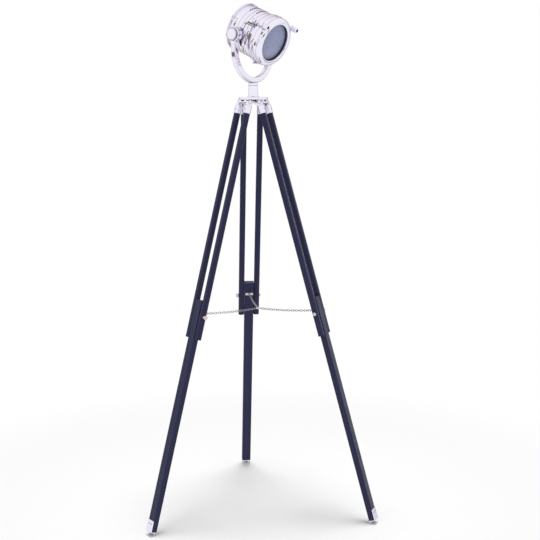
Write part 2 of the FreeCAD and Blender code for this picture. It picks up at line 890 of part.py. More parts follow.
def make_reflector():
    """A round bowl with a hole for the lamp holder and a flat rim."""
    wall = s.reflectorWall
    rim = drum_inner - s.coverFit
    front = s.reflectorFront
    back_outer = (s.reflectorHole, s.reflectorBack)
    back_inner = (s.reflectorHole, s.reflectorBack + wall)
    mouth_outer = (s.reflectorMouth, front)
    mouth_inner = (s.reflectorMouth - wall, front + wall)
    body = turned("Reflector", [
        back_outer,
        mouth_outer + (dish(back_outer, mouth_outer),),
        (rim, front),
        (rim, front + wall),
        mouth_inner,
        back_inner + (-dish(back_inner, mouth_inner),)])
    node(body, "reflector", drum_frame)


# ---- Front ring with its lens

def make_front_ring():
    crown = s.ringCrown
    groove = s.ringRadius - crown
    wall = banded([s.ringBack, s.ringGrooveOne, s.ringGrooveTwo], groove, crown)
    seat = s.lensRadius + s.lensFit
    skirt = s.grooveRadius + s.ringFit
    lip = s.lipRadius
    face = s.ringFace
    slope_out = s.ringNose - lip - s.lipStep
    slope_up = face - s.ringShoulder
    ring = turned("Ring", wall + [
        (s.ringNose, s.ringShoulder, s.ringNoseRound),
        (lip + s.lipStep, face, bow(root(slope_out * slope_out + slope_up * slope_up), s.ringFaceCrown)),
        (lip, face - s.lipStep),
        (lip - s.lipStep, face - s.lipStep),
        (s.lensOpening, face - s.lipStep - s.lipRound, bow(
            root((lip - s.lipStep - s.lensOpening) * (lip - s.lipStep - s.lensOpening)
                 + s.lipRound * s.lipRound), s.lipRound / 4)),
        (s.lensOpening, s.lensPlace),
        (seat, s.lensPlace),
        (seat, s.ringStep),
        (skirt, s.ringStep),
        (skirt, s.ringBack)])
    node(ring, "front_ring", drum_frame)
    lens_back = s.lensPlace - s.lensThickness
    edge = s.lensOpening - s.lensFit
    lens = turned("Lens", [
        (Size(0), lens_back),
        (s.lensRadius, lens_back),
        (s.lensRadius, s.lensPlace),
        (edge, s.lensPlace),
        (Size(0), s.lensPlace + s.lensCrown - root(s.lensCrown * s.lensCrown - edge * edge),
         s.lensCrown)])
    node(lens, "lens_glass", drum_frame)
    for name, inner, top, height in (
            ("lens_gasket", s.gasketInner, lens_back, s.gasketThickness),
            ("lens_retainer", s.retainerInner, lens_back - s.gasketThickness, s.retainerThickness)):
        strip = turned(name.title().replace("_", ""), [
            (inner, top - height), (s.lensRadius, top - height), (s.lensRadius, top), (inner, top)])
        node(strip, name, drum_frame)


# ---- Ring hinge and clamp screws

def knuckle(name, start, length):
    return cylinder(name, s.knuckleRadius, length, along_y(s.hingeDrop, start, s.hingePlace))


def hinge_leaf(name, depth, half, curve, solids):
    """A leaf under the drum or ring, hollowed to its curve, with its knuckles joined on."""
    web_back = s.hingePlace - s.knuckleRadius if float(depth) < 0 else s.hingePlace
    low = s.hingePlace + depth if float(depth) < 0 else s.hingePlace + s.knuckleRadius
    length = abs(float(depth)) - (float(s.knuckleRadius) if float(depth) > 0 else 0)
    leaf = box(name + "Leaf", s.hingeLeafHeight * 2, half * 2, length,
               at(curve, 0, low))
    space = cylinder(name + "Space", curve, s.drumFront * 3, at(0, 0, s.drumBack))
    webs = []
    for index, (begin, run) in enumerate(solids):
        web = box("%sWeb%d" % (name, index), s.hingeDrop - curve, run, s.knuckleRadius,
                  at((s.hingeDrop + curve) / 2, begin + run / 2, web_back))
        webs.append(web)
        webs.append(knuckle("%sKnuckle%d" % (name, index), begin, run))
    pin = cylinder(name + "PinHole", s.hingePinRadius + s.runningGap, s.hingeHalfWidth * 2 + 2,
                   along_y(s.hingeDrop, -s.hingeHalfWidth - 1, s.hingePlace))
    body = cut(name + "Curved", fused(name + "Body", leaf, *webs), space)
    return cut(name, body, pin)


def make_hinge():
    outer = s.hingeHalfWidth - s.knuckleHalf - s.slidingGap
    inner = s.knuckleHalf + s.slidingGap
    drum_leaf = hinge_leaf("DrumHinge", -s.hingeLeafLength, s.hingeHalfWidth, crown_radius,
                           [(inner, outer), (-s.hingeHalfWidth, outer)])
    node(drum_leaf, "hinge_leaf_drum", drum_frame)
    ring_leaf = hinge_leaf("RingHinge", s.hingeLeafLength, s.knuckleHalf, s.ringRadius,
                           [(-s.knuckleHalf, s.knuckleHalf * 2)])
    node(ring_leaf, "hinge_leaf_ring", drum_frame)
    reach = s.hingeHalfWidth + s.slidingGap * 2
    pin = cylinder("HingePin", s.hingePinRadius, reach * 2)
    node(pin, "hinge_pin", drum_frame.multiply(along_y(s.hingeDrop, -reach, s.hingePlace)))


def clamp_lugs(name, back, length, curve, hole_radius):
    """A pair of lugs on one wall, drilled for the clamp screws."""
    lugs = []
    for side, sign in (("Near", 1), ("Far", -1)):
        place = on_drum(sign * float(s.clampAngle), 0, back)
        rise = s.clampCircle + s.lugRise - curve
        block = box(name + side + "Block", rise + s.lugRise, s.lugHalf * 2, length,
                    at((s.clampCircle + s.lugRise + curve - s.lugRise) / 2))
        space = cylinder(name + side + "Space", curve, length)
        hole = cylinder(name + side + "Hole", hole_radius, length, at(s.clampCircle))
        lug = cut(name + side, block, grouped(name + side + "Cuts", space, hole))
        lug.Placement = place
        lugs.append(lug)
    return grouped(name, *lugs)


def make_ring_clamps():
    drum_lugs = clamp_lugs("DrumLug", s.drumLugBack, s.drumLugLength, crown_radius,
                           s.screwShank + s.screwEntryGap)
    node(drum_lugs, "clamp_lugs_drum", drum_frame)
    ring_lugs = clamp_lugs("RingLug", s.ringLugBack, s.ringLugLength, s.ringRadius,
                           s.screwShank + s.runningGap)
    node(ring_lugs, "clamp_lugs_ring", drum_frame)
    seat = s.ringLugBack + s.ringLugLength + s.slidingGap
    neck_end = seat + s.knurlNeckLength
    end = seat + s.knurlLength
    for side, sign in (("near", 1), ("far", -1)):
        screw = turned("ClampScrew" + side, [
            (Size(0), s.screwTip),
            (s.screwShank - s.fluteRadius, s.screwTip),
            (s.screwShank, s.screwTip + s.fluteRadius),
            (s.screwShank, seat),
            (s.knurlNeck, seat),
            (s.knurlNeck, neck_end),
            (s.knurlRadius, neck_end + s.fluteRadius),
            (s.knurlRadius, end - s.fluteRadius),
            (s.knurlRadius - s.fluteRadius, end),
            (s.knurlBore, end),
            (s.knurlBore, end - s.knurlBoreDepth),
            (Size(0), end - s.knurlBoreDepth)])
        knob = fluted("ClampKnob" + side, screw, s.knurlRadius + s.fluteRadius / 2, s.knurlFlutes,
                      neck_end - s.fluteRadius, end + s.fluteRadius)
        place = drum_frame.multiply(on_drum(sign * float(s.clampAngle), s.clampCircle))
        node(knob, "ring_clamp_" + side, place)


# ---- Legs

ferrule_depth = s.railDepth + s.ferruleWall * 2
ferrule_width = s.railWidth + s.ferruleWall * 2
ferrule_top = s.railTop - s.ferruleShoulder


def make_rails(name, frame):
    for side, sign in (("a", 1), ("b", -1)):
        across = sign * float(s.railSpacing) / 2
        rail = bar("Rail", s.railDepth, s.railWidth, s.railLength, s.railCorner, s.railEndRound)
        hole = cylinder("RailHole", s.clampShank + s.runningGap, s.railWidth,
                        along_y(0, -s.railWidth / 2, s.railTop - s.clampPlace))
        place = frame.multiply(at(0, across, -s.railTop))
        node(cut("DrilledRail", rail, hole), "leg_%s_rail_%s" % (name, side), place)


def make_ferrules(name, frame):
    """Two capped ferrules with their pivot tongues."""
    pair = []
    for side, sign in (("A", 1), ("B", -1)):
        across = sign * s.railSpacing / 2
        shell = bar("Cup", ferrule_depth, ferrule_width, s.ferruleLength,
                    s.railCorner + s.ferruleWall, s.ferruleShoulder)
        shell.Placement = at(0, across, -ferrule_top)
        cavity = bar("Cavity", s.railDepth + s.runningGap * 2, s.railWidth + s.runningGap * 2,
                     s.ferruleLength, s.railCorner)
        cavity.Placement = at(0, across, -s.railTop + s.runningGap)
        tongue_inner = s.lugWidth / 2 + s.slidingGap
        middle = sign * (tongue_inner + s.tongueThickness / 2)
        stem = box("Tongue", s.tongueRadius * 2, s.tongueThickness, s.railTop - s.runningGap,
                   at(0, middle, -s.railTop + s.runningGap))
        edge = middle - s.tongueThickness / 2
        eye = cylinder("TongueEye", s.tongueRadius, s.tongueThickness, along_y(0, edge, 0))
        hole = cylinder("TongueHole", s.boltRadius + s.runningGap, s.tongueThickness,
                        along_y(0, edge, 0))
        cup = cut("Hollow", shell, cavity)
        pair.append(cut("Ferrule" + side, fused("FerruleBody" + side, cup, stem, eye), hole))
    node(grouped("Ferrules", *pair), "leg_%s_ferrules" % name, frame)


def make_lower_leg(name, frame):
    leg = bar("LowerLeg", s.lowerDepth, s.lowerWidth, s.lowerLength, s.lowerCorner)
    half = s.clampShank + s.slidingGap
    bolt = s.lowerTop - s.clampPlace
    slot_top = bolt + s.clampSlotAbove - half
    slot_bottom = bolt - s.clampSlotBelow + half
    start = -s.lowerWidth / 2
    slot = [box("Slot", half * 2, s.lowerWidth, slot_top - slot_bottom, at(0, 0, slot_bottom))]
    for height in (slot_top, slot_bottom):
        slot.append(cylinder("SlotEnd", half, s.lowerWidth, along_y(0, start, height)))
    place = frame.multiply(at(0, 0, -s.lowerTop))
    node(cut("SlottedLeg", leg, fused("SlotSpace", *slot)), "leg_%s_lower" % name, place)


def make_foot(name, index, frame):
    """A plate bent under the leg's end and a rounded glide below it."""
    outside = s.lowerDepth / 2
    end = -s.lowerTop - s.lowerLength
    wall = s.footPlateWall
    bend = s.footBend
    plate = padded("FootPlate", [
        (-outside, end - wall),
        (outside + wall - bend, end - wall),
        (outside + wall, end - wall + bend, bend),
        (outside + wall, end + s.footPlateHeight),
        (outside, end + s.footPlateHeight),
        (outside, end),
        (-outside, end)], s.lowerWidth, "XZ_Plane")
    node(plate, "leg_%s_foot_plate" % name, frame)
    along = s.lowerTop + s.lowerLength
    radius = s.pivotRadius + along * sine(s.legSpread) + s.glideOffset
    height = s.pivotHeight - along * cosine(s.legSpread)
    side = bow(root((s.glideRadius - s.glideFlat) * (s.glideRadius - s.glideFlat)
                    + s.glideBand * s.glideBand), s.glideBand / 4)
    glide = turned("Glide", [
        (Size(0), Size(0)),
        (s.glideFlat, Size(0)),
        (s.glideRadius, s.glideBand, side),
        (s.glideRadius, s.glideBand * 2),
        (s.glideNeck, s.glideBand * 3),
        (s.glideNeck, height),
        (Size(0), height)])
    glide.Placement = at(radius)
    # The glide ends on the sloping underside of the plate.
    above = box("AboveGlide", s.lowerWidth, s.lowerWidth, s.lowerWidth,
                at(s.pivotRadius, 0, s.pivotHeight, -float(s.legSpread), Vector(0, 1, 0)).multiply(
                    at(0, 0, end - wall)))
    node(cut("CutGlide", glide, above), "leg_%s_glide" % name, radial_frame(index))


def make_leg_clamp(name, frame):
    """A screw across both rails: a fluted knob on one end, a domed nut on the other."""
    edge = s.railSpacing / 2 + s.railWidth / 2 + s.slidingGap
    knob_end = edge + s.clampKnobLength
    soft = s.fluteRadius
    nut_round = bow(s.clampNutRadius * 2, s.clampNutHeight * 2 / 3)
    body = turned("ClampBody", [
        (Size(0), -edge - s.clampNutHeight),
        (s.clampNutRadius, -edge - s.clampNutHeight / 3, nut_round),
        (s.clampNutRadius, -edge),
        (s.clampShank, -edge),
        (s.clampShank, edge),
        (s.clampKnobRadius - soft * 2, edge),
        (s.clampKnobRadius, edge + soft * 2),
        (s.clampKnobRadius, knob_end - soft),
        (s.clampKnobRadius - soft, knob_end),
        (Size(0), knob_end)])
    knob = fluted("LegKnob", body, s.clampKnobRadius + soft / 2, s.clampFlutes, edge, knob_end + soft)
    node(knob, "leg_%s_clamp" % name, frame.multiply(along_y(0, 0, -s.clampPlace)))


def make_chain_bracket(name, frame):
    """A small plate on the inner face of the lower leg with an eye for the chain."""
    face = -s.lowerDepth / 2
    back = face - s.bracketWall
    plate = box("BracketPlate", s.bracketWall, s.bracketWidth, s.bracketHeight,
                at(face - s.bracketWall / 2, 0, -s.chainDrop - s.bracketHeight / 2))
    eye = torus("Eye", s.eyeRadius, s.eyeWire, at(back - s.eyeRadius, 0, -s.chainDrop))
    solids = [plate, eye]
    for sign in (1, -1):
        screw_place = at(back, sign * s.bracketWidth / 3, -s.chainDrop)
        turn = Placement(Vector(0, 0, 0), Rotation(Vector(0, 1, 0), -90))
        solids.append(cylinder("BracketScrew", s.bracketScrew, s.bracketWall / 2,
                               screw_place.multiply(turn)))
    node(fused("Bracket", *solids), "leg_%s_chain_bracket" % name, frame)


# ---- Spreader chains

def chain_link(half_length):
    """One oval link of round wire, long along X, lying in the XY plane."""
    bend = s.linkHalfWidth
    straight = half_length - float(bend)
    wire = s.linkWire
    pieces = []
    for sign in (1, -1):
        run = cylinder("LinkSide", wire, 2 * straight, along_x(-straight, sign * bend, 0))
        end = torus("LinkEnd", bend, wire, at(sign * straight, 0, 0, -90 * sign))
        bind(end, Angle3=FULL_TURN / 2)
        pieces.extend([run, end])
    link = fused("Link", *pieces)
    link.Refine = False
    return link


def make_chain(name, index):
    """Links from the centre ring out to the eye on a leg, alternately turned."""
    spread = math.radians(float(s.legSpread))
    loop = float(s.eyeRadius)
    eye = float(-s.lowerDepth / 2 - s.bracketWall) - loop
    drop = float(s.chainDrop)
    eye_radius = float(s.pivotRadius) + eye * math.cos(spread) + drop * math.sin(spread)
    eye_height = float(s.pivotHeight) + (eye - loop) * math.sin(spread) - drop * math.cos(spread)
    centre = Vector(float(s.chainRingAcross), 0, 0)
    path = radial_frame(index).multVec(Vector(eye_radius, 0, 0)) - centre
    wire = float(s.linkWire)
    gap = float(s.linkGap)
    count = int(float(s.linkCount))
    ring_side = float(s.chainRingRadius) - float(s.chainRingWire) - gap
    eye_side = path.Length - loop * math.cos(spread) + float(s.eyeWire) + gap
    pitch = (eye_side - ring_side - 2 * (wire + gap)) / count
    inside = pitch / 2 + wire + gap
    link = chain_link(inside + wire)
    first = ring_side + inside
    last = eye_side - inside
    start_height = float(s.chainRingHeight)
    links = []
    for number in range(count):
        share = number / (count - 1)
        sag = 4 * float(s.chainSag) * share * (1 - share)
        slope = (eye_height - start_height - 4 * float(s.chainSag) * (1 - 2 * share)) / (last - first)
        height = start_height + (eye_height - start_height) * share - sag
        tilt = at(first + (last - first) * share, 0, height, -math.degrees(math.atan(slope)),
                  Vector(0, 1, 0))
        roll = at(turn=90 if number % 2 == 0 else 0, about=Vector(1, 0, 0))
        copy = link.Shape.copy()
        copy.Placement = tilt.multiply(roll)
        links.append(copy)
    chain = doc.addObject("Part::Feature", "Chain")
    chain.Shape = Part.makeCompound(links)
    heading = math.degrees(math.atan2(path.y, path.x))
    node(chain, "chain_" + name, at(centre.x, centre.y, 0, heading))


def make_leg(index, name):
    frame = leg_frame(index)
    make_rails(name, frame)
    make_ferrules(name, frame)
    make_lower_leg(name, frame)
    make_foot(name, index, frame)
    make_leg_clamp(name, frame)
    make_chain_bracket(name, frame)
    make_chain(name, index)


# ---- Build, check and write

make_hub()
make_pivot_bolts()
make_neck()
make_collar()
make_yoke()
make_tilt_knobs()
make_drum()
make_rear_cover()
make_side_covers()
make_housing_screws()
make_pivot_bosses()
make_lamp()
make_reflector()
make_front_ring()
make_hinge()
make_ring_clamps()
for leg_index, leg_name in enumerate(LEG_NAMES):
    make_leg(leg_index, leg_name)
ring_place = at(s.chainRingAcross, 0, s.chainRingHeight)
node(torus("ChainRing", s.chainRingRadius, s.chainRingWire), "chain_ring", ring_place)
doc.recompute()

failed = [thing.Label for thing in doc.Objects if {"Invalid", "Error"} & set(thing.State)]
if failed:
    raise RuntimeError("These did not compute: " + ", ".join(failed))
for part in nodes:
    if part.Shape.isNull() or not part.Shape.isValid():
        raise RuntimeError("%s has no valid shape" % part.Label)

os.makedirs("parts", exist_ok=True)
for part in nodes:
    part.Shape.exportStep("parts/%s.step" % part.Label)
print(len(nodes), "sub-parts written")
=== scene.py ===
import json
import math
import bpy
import bmesh
from mathutils import Matrix, Vector
from mathutils.bvhtree import BVHTree


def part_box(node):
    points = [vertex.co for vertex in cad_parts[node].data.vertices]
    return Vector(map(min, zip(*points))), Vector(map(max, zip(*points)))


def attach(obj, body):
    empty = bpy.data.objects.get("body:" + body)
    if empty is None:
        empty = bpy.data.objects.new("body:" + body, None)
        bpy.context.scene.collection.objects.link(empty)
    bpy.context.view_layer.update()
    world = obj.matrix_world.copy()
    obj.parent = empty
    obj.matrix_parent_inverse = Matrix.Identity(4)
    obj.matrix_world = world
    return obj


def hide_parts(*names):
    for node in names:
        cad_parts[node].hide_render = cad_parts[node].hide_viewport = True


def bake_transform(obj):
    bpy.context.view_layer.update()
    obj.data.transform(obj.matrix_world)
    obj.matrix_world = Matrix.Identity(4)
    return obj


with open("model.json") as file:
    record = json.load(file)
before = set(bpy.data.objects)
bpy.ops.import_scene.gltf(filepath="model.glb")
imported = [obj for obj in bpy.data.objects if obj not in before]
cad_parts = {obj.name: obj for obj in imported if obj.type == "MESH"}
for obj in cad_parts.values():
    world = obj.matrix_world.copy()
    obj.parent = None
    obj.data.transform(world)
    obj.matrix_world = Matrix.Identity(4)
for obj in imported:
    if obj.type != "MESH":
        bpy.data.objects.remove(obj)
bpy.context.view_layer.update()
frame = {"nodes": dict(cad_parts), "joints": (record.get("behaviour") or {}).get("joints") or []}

scene = bpy.context.scene
nodes = frame["nodes"]
joints = {joint["name"]: joint for joint in frame["joints"]}
print("frame loaded:", len(nodes), "nodes")


# camera, first of all
view = {
    "place": (-0.3108, -3.1332, 1.2953),
    "yaw": 0.1143,       # towards +X from +Y, radians
    "pitch": 0.1582,     # downwards
    "roll": -0.0073,
    "lens": 65.95,
}


def makeCamera():
    forward = Vector((math.sin(view["yaw"]) * math.cos(view["pitch"]),
                      math.cos(view["yaw"]) * math.cos(view["pitch"]), -math.sin(view["pitch"])))
    right = Vector((math.cos(view["yaw"]), -math.sin(view["yaw"]), 0))
    up = right.cross(forward)
    turn = Matrix.Rotation(view["roll"], 3, -forward)
    right, up = turn @ right, turn @ up
    data = bpy.data.cameras.new("camera")
    data.lens = view["lens"]
    data.sensor_width = 36
    data.clip_end = 50
    camera = bpy.data.objects.new("camera", data)
    scene.collection.objects.link(camera)
    placing = Matrix((right, up, -forward)).transposed().to_4x4()
    placing.translation = view["place"]
    camera.matrix_world = placing
    scene.camera = camera


makeCamera()
print("camera set")


# the lamp's own frames, read from its joints
def axesMatrix(x, y, z, origin):
    matrix = Matrix((x, y, z)).transposed().to_4x4()
    matrix.translation = origin
    return matrix


def headFrames():
    # head: X forward, Y across, Z up; drum: Z forward, X down, Y across
    forward = Vector(joints["ring_clamp_near_turn"]["axis"]).normalized()
    across = Vector(joints["bezel_open"]["axis"]).normalized()
    up = forward.cross(across)
    pivot = Vector(joints["head_tilt"]["pos_m"])
    low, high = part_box("lens_glass")
    middle = (low + high) / 2
    offset = (middle - pivot).dot(up)
    head = axesMatrix(forward, across, up, pivot)
    drum = axesMatrix(-up, across, forward, pivot + up * offset)
    upright = Vector((0, 0, 1))
    yoke = axesMatrix(across.cross(upright), across, upright, pivot)
    return head, drum, yoke


def legFrame(name):
    # X outward, Y across, Z up along the leg, origin on its pivot
    along = -Vector(joints["leg_%s_slide" % name]["axis"]).normalized()
    across = Vector(joints["leg_%s_fold" % name]["axis"]).normalized()
    return axesMatrix(across.cross(along), across, along, Vector(joints["leg_%s_fold" % name]["pos_m"]))


headFrame, drumFrame, yokeFrame = headFrames()
legNames = ("rear", "left", "right")
legFrames = {name: legFrame(name) for name in legNames}


# shader groups
def newGroup(name, inputs, outputs):
    tree = bpy.data.node_groups.new(name, "ShaderNodeTree")
    for label, kind, value in inputs:
        socket = tree.interface.new_socket(label, in_out="INPUT", socket_type=kind)
        if value is not None:
            socket.default_value = value
    for label, kind in outputs:
        tree.interface.new_socket(label, in_out="OUTPUT", socket_type=kind)
    return tree, tree.nodes.new("NodeGroupInput"), tree.nodes.new("NodeGroupOutput")


def addNode(tree, kind, settings=None, **values):
    node = tree.nodes.new(kind)
    for name, value in (settings or {}).items():
        setattr(node, name, value)
    for name, value in values.items():
        node.inputs[name.replace("_", " ")].default_value = value
    return node


def makeSmudgeGroup():
    # soft cloudy variation of roughness and tone, as handled polished metal has
    tree, source, result = newGroup(
        "smudges",
        [("Vector", "NodeSocketVector", None), ("Scale", "NodeSocketFloat", 30.0),
         ("Low", "NodeSocketFloat", 0.1), ("High", "NodeSocketFloat", 0.2)],
        [("Value", "NodeSocketFloat"), ("Mask", "NodeSocketFloat")])
    noise = addNode(tree, "ShaderNodeTexNoise", Detail=4.0, Roughness=0.6)
    spread = addNode(tree, "ShaderNodeMapRange", {"interpolation_type": "SMOOTHSTEP"},
                     From_Min=0.35, From_Max=0.7)
    link = tree.links.new
    link(source.outputs["Vector"], noise.inputs["Vector"])
    link(source.outputs["Scale"], noise.inputs["Scale"])
    link(noise.outputs["Fac"], spread.inputs["Value"])
    link(source.outputs["Low"], spread.inputs["To Min"])
    link(source.outputs["High"], spread.inputs["To Max"])
    link(spread.outputs["Result"], result.inputs["Value"])
    link(noise.outputs["Fac"], result.inputs["Mask"])
    return tree


def makeStreakGroup():
    # fine lines drawn out along Z of the given vector: wood grain or brushing
    tree, source, result = newGroup(
        "streaks",
        [("Vector", "NodeSocketVector", None), ("Across", "NodeSocketFloat", 400.0),
         ("Along", "NodeSocketFloat", 6.0)],
        [("Fine", "NodeSocketFloat"), ("Broad", "NodeSocketFloat")])
    combine = addNode(tree, "ShaderNodeCombineXYZ")
    stretch = addNode(tree, "ShaderNodeVectorMath", {"operation": "MULTIPLY"})
    fine = addNode(tree, "ShaderNodeTexNoise", Scale=1.0, Detail=5.0, Roughness=0.65)
    broad = addNode(tree, "ShaderNodeTexNoise", Scale=0.18, Detail=3.0, Roughness=0.5)
    link = tree.links.new
    link(source.outputs["Across"], combine.inputs["X"])
    link(source.outputs["Across"], combine.inputs["Y"])
    link(source.outputs["Along"], combine.inputs["Z"])
    link(source.outputs["Vector"], stretch.inputs[0])
    link(combine.outputs["Vector"], stretch.inputs[1])
    for texture, label in ((fine, "Fine"), (broad, "Broad")):
        link(stretch.outputs["Vector"], texture.inputs["Vector"])
        link(texture.outputs["Fac"], result.inputs[label])
    return tree


smudges = makeSmudgeGroup()
streaks = makeStreakGroup()


def newMaterial(name, **sockets):
    material = bpy.data.materials.new(name)
    material.use_nodes = True
    shader = material.node_tree.nodes["Principled BSDF"]
    for label, value in sockets.items():
        shader.inputs[label.replace("_", " ")].default_value = value
    return material, material.node_tree, shader


def localVector(tree, matrix):
    # object coordinates turned into one of the lamp's own frames
    place = addNode(tree, "ShaderNodeTexCoord")
    mapping = addNode(tree, "ShaderNodeMapping", {"vector_type": "TEXTURE"})
    mapping.inputs["Location"].default_value = matrix.translation
    mapping.inputs["Rotation"].default_value = matrix.to_euler()
    tree.links.new(place.outputs["Object"], mapping.inputs["Vector"])
    return mapping.outputs["Vector"]


def blendColours(tree, factor, dark, light):
    mix = addNode(tree, "ShaderNodeMix", {"data_type": "RGBA"})
    mix.inputs["A"].default_value = (*dark, 1)
    mix.inputs["B"].default_value = (*light, 1)
    tree.links.new(factor, mix.inputs["Factor"])
    return mix.outputs["Result"]


def groupNode(tree, group, vector, **values):
    node = tree.nodes.new("ShaderNodeGroup")
    node.node_tree = group
    for name, value in values.items():
        node.inputs[name].default_value = value
    tree.links.new(vector, node.inputs["Vector"])
    return node


def addBump(tree, shader, height, strength, distance):
    bump = addNode(tree, "ShaderNodeBump", Strength=strength, Distance=distance)
    tree.links.new(height, bump.inputs["Height"])
    tree.links.new(bump.outputs["Normal"], shader.inputs["Normal"])


# finishes
def blackLacquer(name, matrix):
    # satin black stain over wood: faint grain and a cool sheen
    material, tree, shader = newMaterial(name, Roughness=0.36, Specular_IOR_Level=0.16, Coat_Weight=0.02,
                                         Coat_Roughness=0.2, Coat_Tint=(0.7, 0.7, 1, 1),
                                         Specular_Tint=(0.7, 0.7, 1, 1))
    vector = localVector(tree, matrix)
    grain = groupNode(tree, streaks, vector, Across=420.0, Along=9.0)
    wear = groupNode(tree, smudges, vector, Scale=24.0, Low=0.3, High=0.46)
    colour = blendColours(tree, grain.outputs["Broad"], (0.017, 0.018, 0.045), (0.041, 0.043, 0.1))
    tree.links.new(colour, shader.inputs["Base Color"])
    tree.links.new(wear.outputs["Value"], shader.inputs["Roughness"])
    addBump(tree, shader, grain.outputs["Fine"], 0.25, 0.0003)
    return material


def paintedDarkLines(tree, vector, kind, low, high, places):
    # painted shade and painted reflection: dark lines over grooves and edges, along the axis, out from it, or
    # across
    if kind == "out":
        flat = addNode(tree, "ShaderNodeVectorMath", {"operation": "MULTIPLY"})
        flat.inputs[1].default_value = (1, 0, 1)
        size = addNode(tree, "ShaderNodeVectorMath", {"operation": "LENGTH"})
        tree.links.new(vector, flat.inputs[0])
        tree.links.new(flat.outputs["Vector"], size.inputs[0])
        reading = size.outputs["Value"]
    else:
        split = addNode(tree, "ShaderNodeSeparateXYZ")
        tree.links.new(vector, split.inputs["Vector"])
        reading = split.outputs["Z" if kind == "along" else "X"]
    spread = addNode(tree, "ShaderNodeMapRange", From_Min=low / 1000, From_Max=high / 1000)
    ramp = tree.nodes.new("ShaderNodeValToRGB")
    tree.links.new(reading, spread.inputs["Value"])
    tree.links.new(spread.outputs["Result"], ramp.inputs["Fac"])
    stops = ramp.color_ramp.elements
    stops[0].color = stops[1].color = (0, 0, 0, 1)
    for place, half, strength in places:
        for shift, value in ((-half, 0), (0, strength), (half, 0)):
            stop = stops.new((place + shift - low) / (high - low))
            stop.color = (value, value, value, 1)
    return ramp.outputs["Color"]


def polishedNickel(name, matrix, dark=(0.8, 0.78, 0.89), light=(0.91, 0.89, 0.99), low=0.04, high=0.1,
                   lines=0.0, paintedLines=None, paintedLineTone=(0.2, 0.16, 0.18)):
    # the darker tint at grazing angles draws the edges, as on plated steel
    material, tree, shader = newMaterial(name, Metallic=1.0, Specular_Tint=(0.5, 0.42, 0.46, 1))
    vector = localVector(tree, matrix)
    cloud = groupNode(tree, smudges, vector, Scale=26.0, Low=low, High=high)
    colour = blendColours(tree, cloud.outputs["Mask"], dark, light)
    # painted shade and painted reflection: the given dark lines go into the base colour
    if paintedLines:
        mark = paintedDarkLines(tree, vector, *paintedLines)
        paintedLineMix = addNode(tree, "ShaderNodeMix", {"data_type": "RGBA"})
        paintedLineMix.inputs["B"].default_value = (*paintedLineTone, 1)
        tree.links.new(mark, paintedLineMix.inputs["Factor"])
        tree.links.new(colour, paintedLineMix.inputs["A"])
        colour = paintedLineMix.outputs["Result"]
    tree.links.new(colour, shader.inputs["Base Color"])
    tree.links.new(cloud.outputs["Value"], shader.inputs["Roughness"])
    if lines:
        radius = addNode(tree, "ShaderNodeVectorMath", {"operation": "LENGTH"})
        flat = addNode(tree, "ShaderNodeVectorMath", {"operation": "MULTIPLY"})
        flat.inputs[1].default_value = (1, 1, 0)
        split = addNode(tree, "ShaderNodeSeparateXYZ")
        join = addNode(tree, "ShaderNodeCombineXYZ")
        rings = addNode(tree, "ShaderNodeTexNoise", Scale=900.0, Detail=3.0)
        link = tree.links.new
        link(vector, flat.inputs[0])
        link(flat.outputs["Vector"], radius.inputs[0])
        link(vector, split.inputs["Vector"])
        link(radius.outputs["Value"], join.inputs["X"])
        link(split.outputs["Z"], join.inputs["Z"])
        link(join.outputs["Vector"], rings.inputs["Vector"])
        addBump(tree, shader, rings.outputs["Fac"], lines, 0.0002)
    return material


def frostedLens():
    material, tree, shader = newMaterial("frostedLens", IOR=1.46, Transmission_Weight=0.35)
    vector = localVector(tree, drumFrame)
    grain = groupNode(tree, smudges, vector, Scale=1400.0, Low=0.42, High=0.6)
    cloud = groupNode(tree, smudges, vector, Scale=14.0, Low=0.0, High=1.0)
    colour = blendColours(tree, cloud.outputs["Value"], (0.41, 0.45, 0.69), (0.49, 0.53, 0.77))
    tree.links.new(colour, shader.inputs["Base Color"])
    tree.links.new(grain.outputs["Value"], shader.inputs["Roughness"])
    addBump(tree, shader, grain.outputs["Mask"], 0.12, 0.0001)
    return material


def plainFinish(name, dark, light, roughness, metallic=0.0, scale=60.0, bump=0.1):
    # a finish with fine mottling, for rubber, ceramic, brass and the hidden parts
    material, tree, shader = newMaterial(name, Metallic=metallic)
    place = addNode(tree, "ShaderNodeTexCoord")
    cloud = groupNode(tree, smudges, place.outputs["Object"], Scale=scale, Low=roughness * 0.8,
                      High=roughness * 1.2)
    colour = blendColours(tree, cloud.outputs["Mask"], dark, light)
    tree.links.new(colour, shader.inputs["Base Color"])
    tree.links.new(cloud.outputs["Value"], shader.inputs["Roughness"])
    addBump(tree, shader, cloud.outputs["Mask"], bump, 0.0002)
    return material


def bulbFinish():
    material, tree, shader = newMaterial("pearlBulb", IOR=1.46, Transmission_Weight=0.5)
    place = addNode(tree, "ShaderNodeTexCoord")
    cloud = groupNode(tree, smudges, place.outputs["Object"], Scale=900.0, Low=0.3, High=0.5)
    colour = blendColours(tree, cloud.outputs["Mask"], (0.75, 0.75, 0.75), (0.92, 0.92, 0.92))
    tree.links.new(colour, shader.inputs["Base Color"])
    tree.links.new(cloud.outputs["Value"], shader.inputs["Roughness"])
    return material


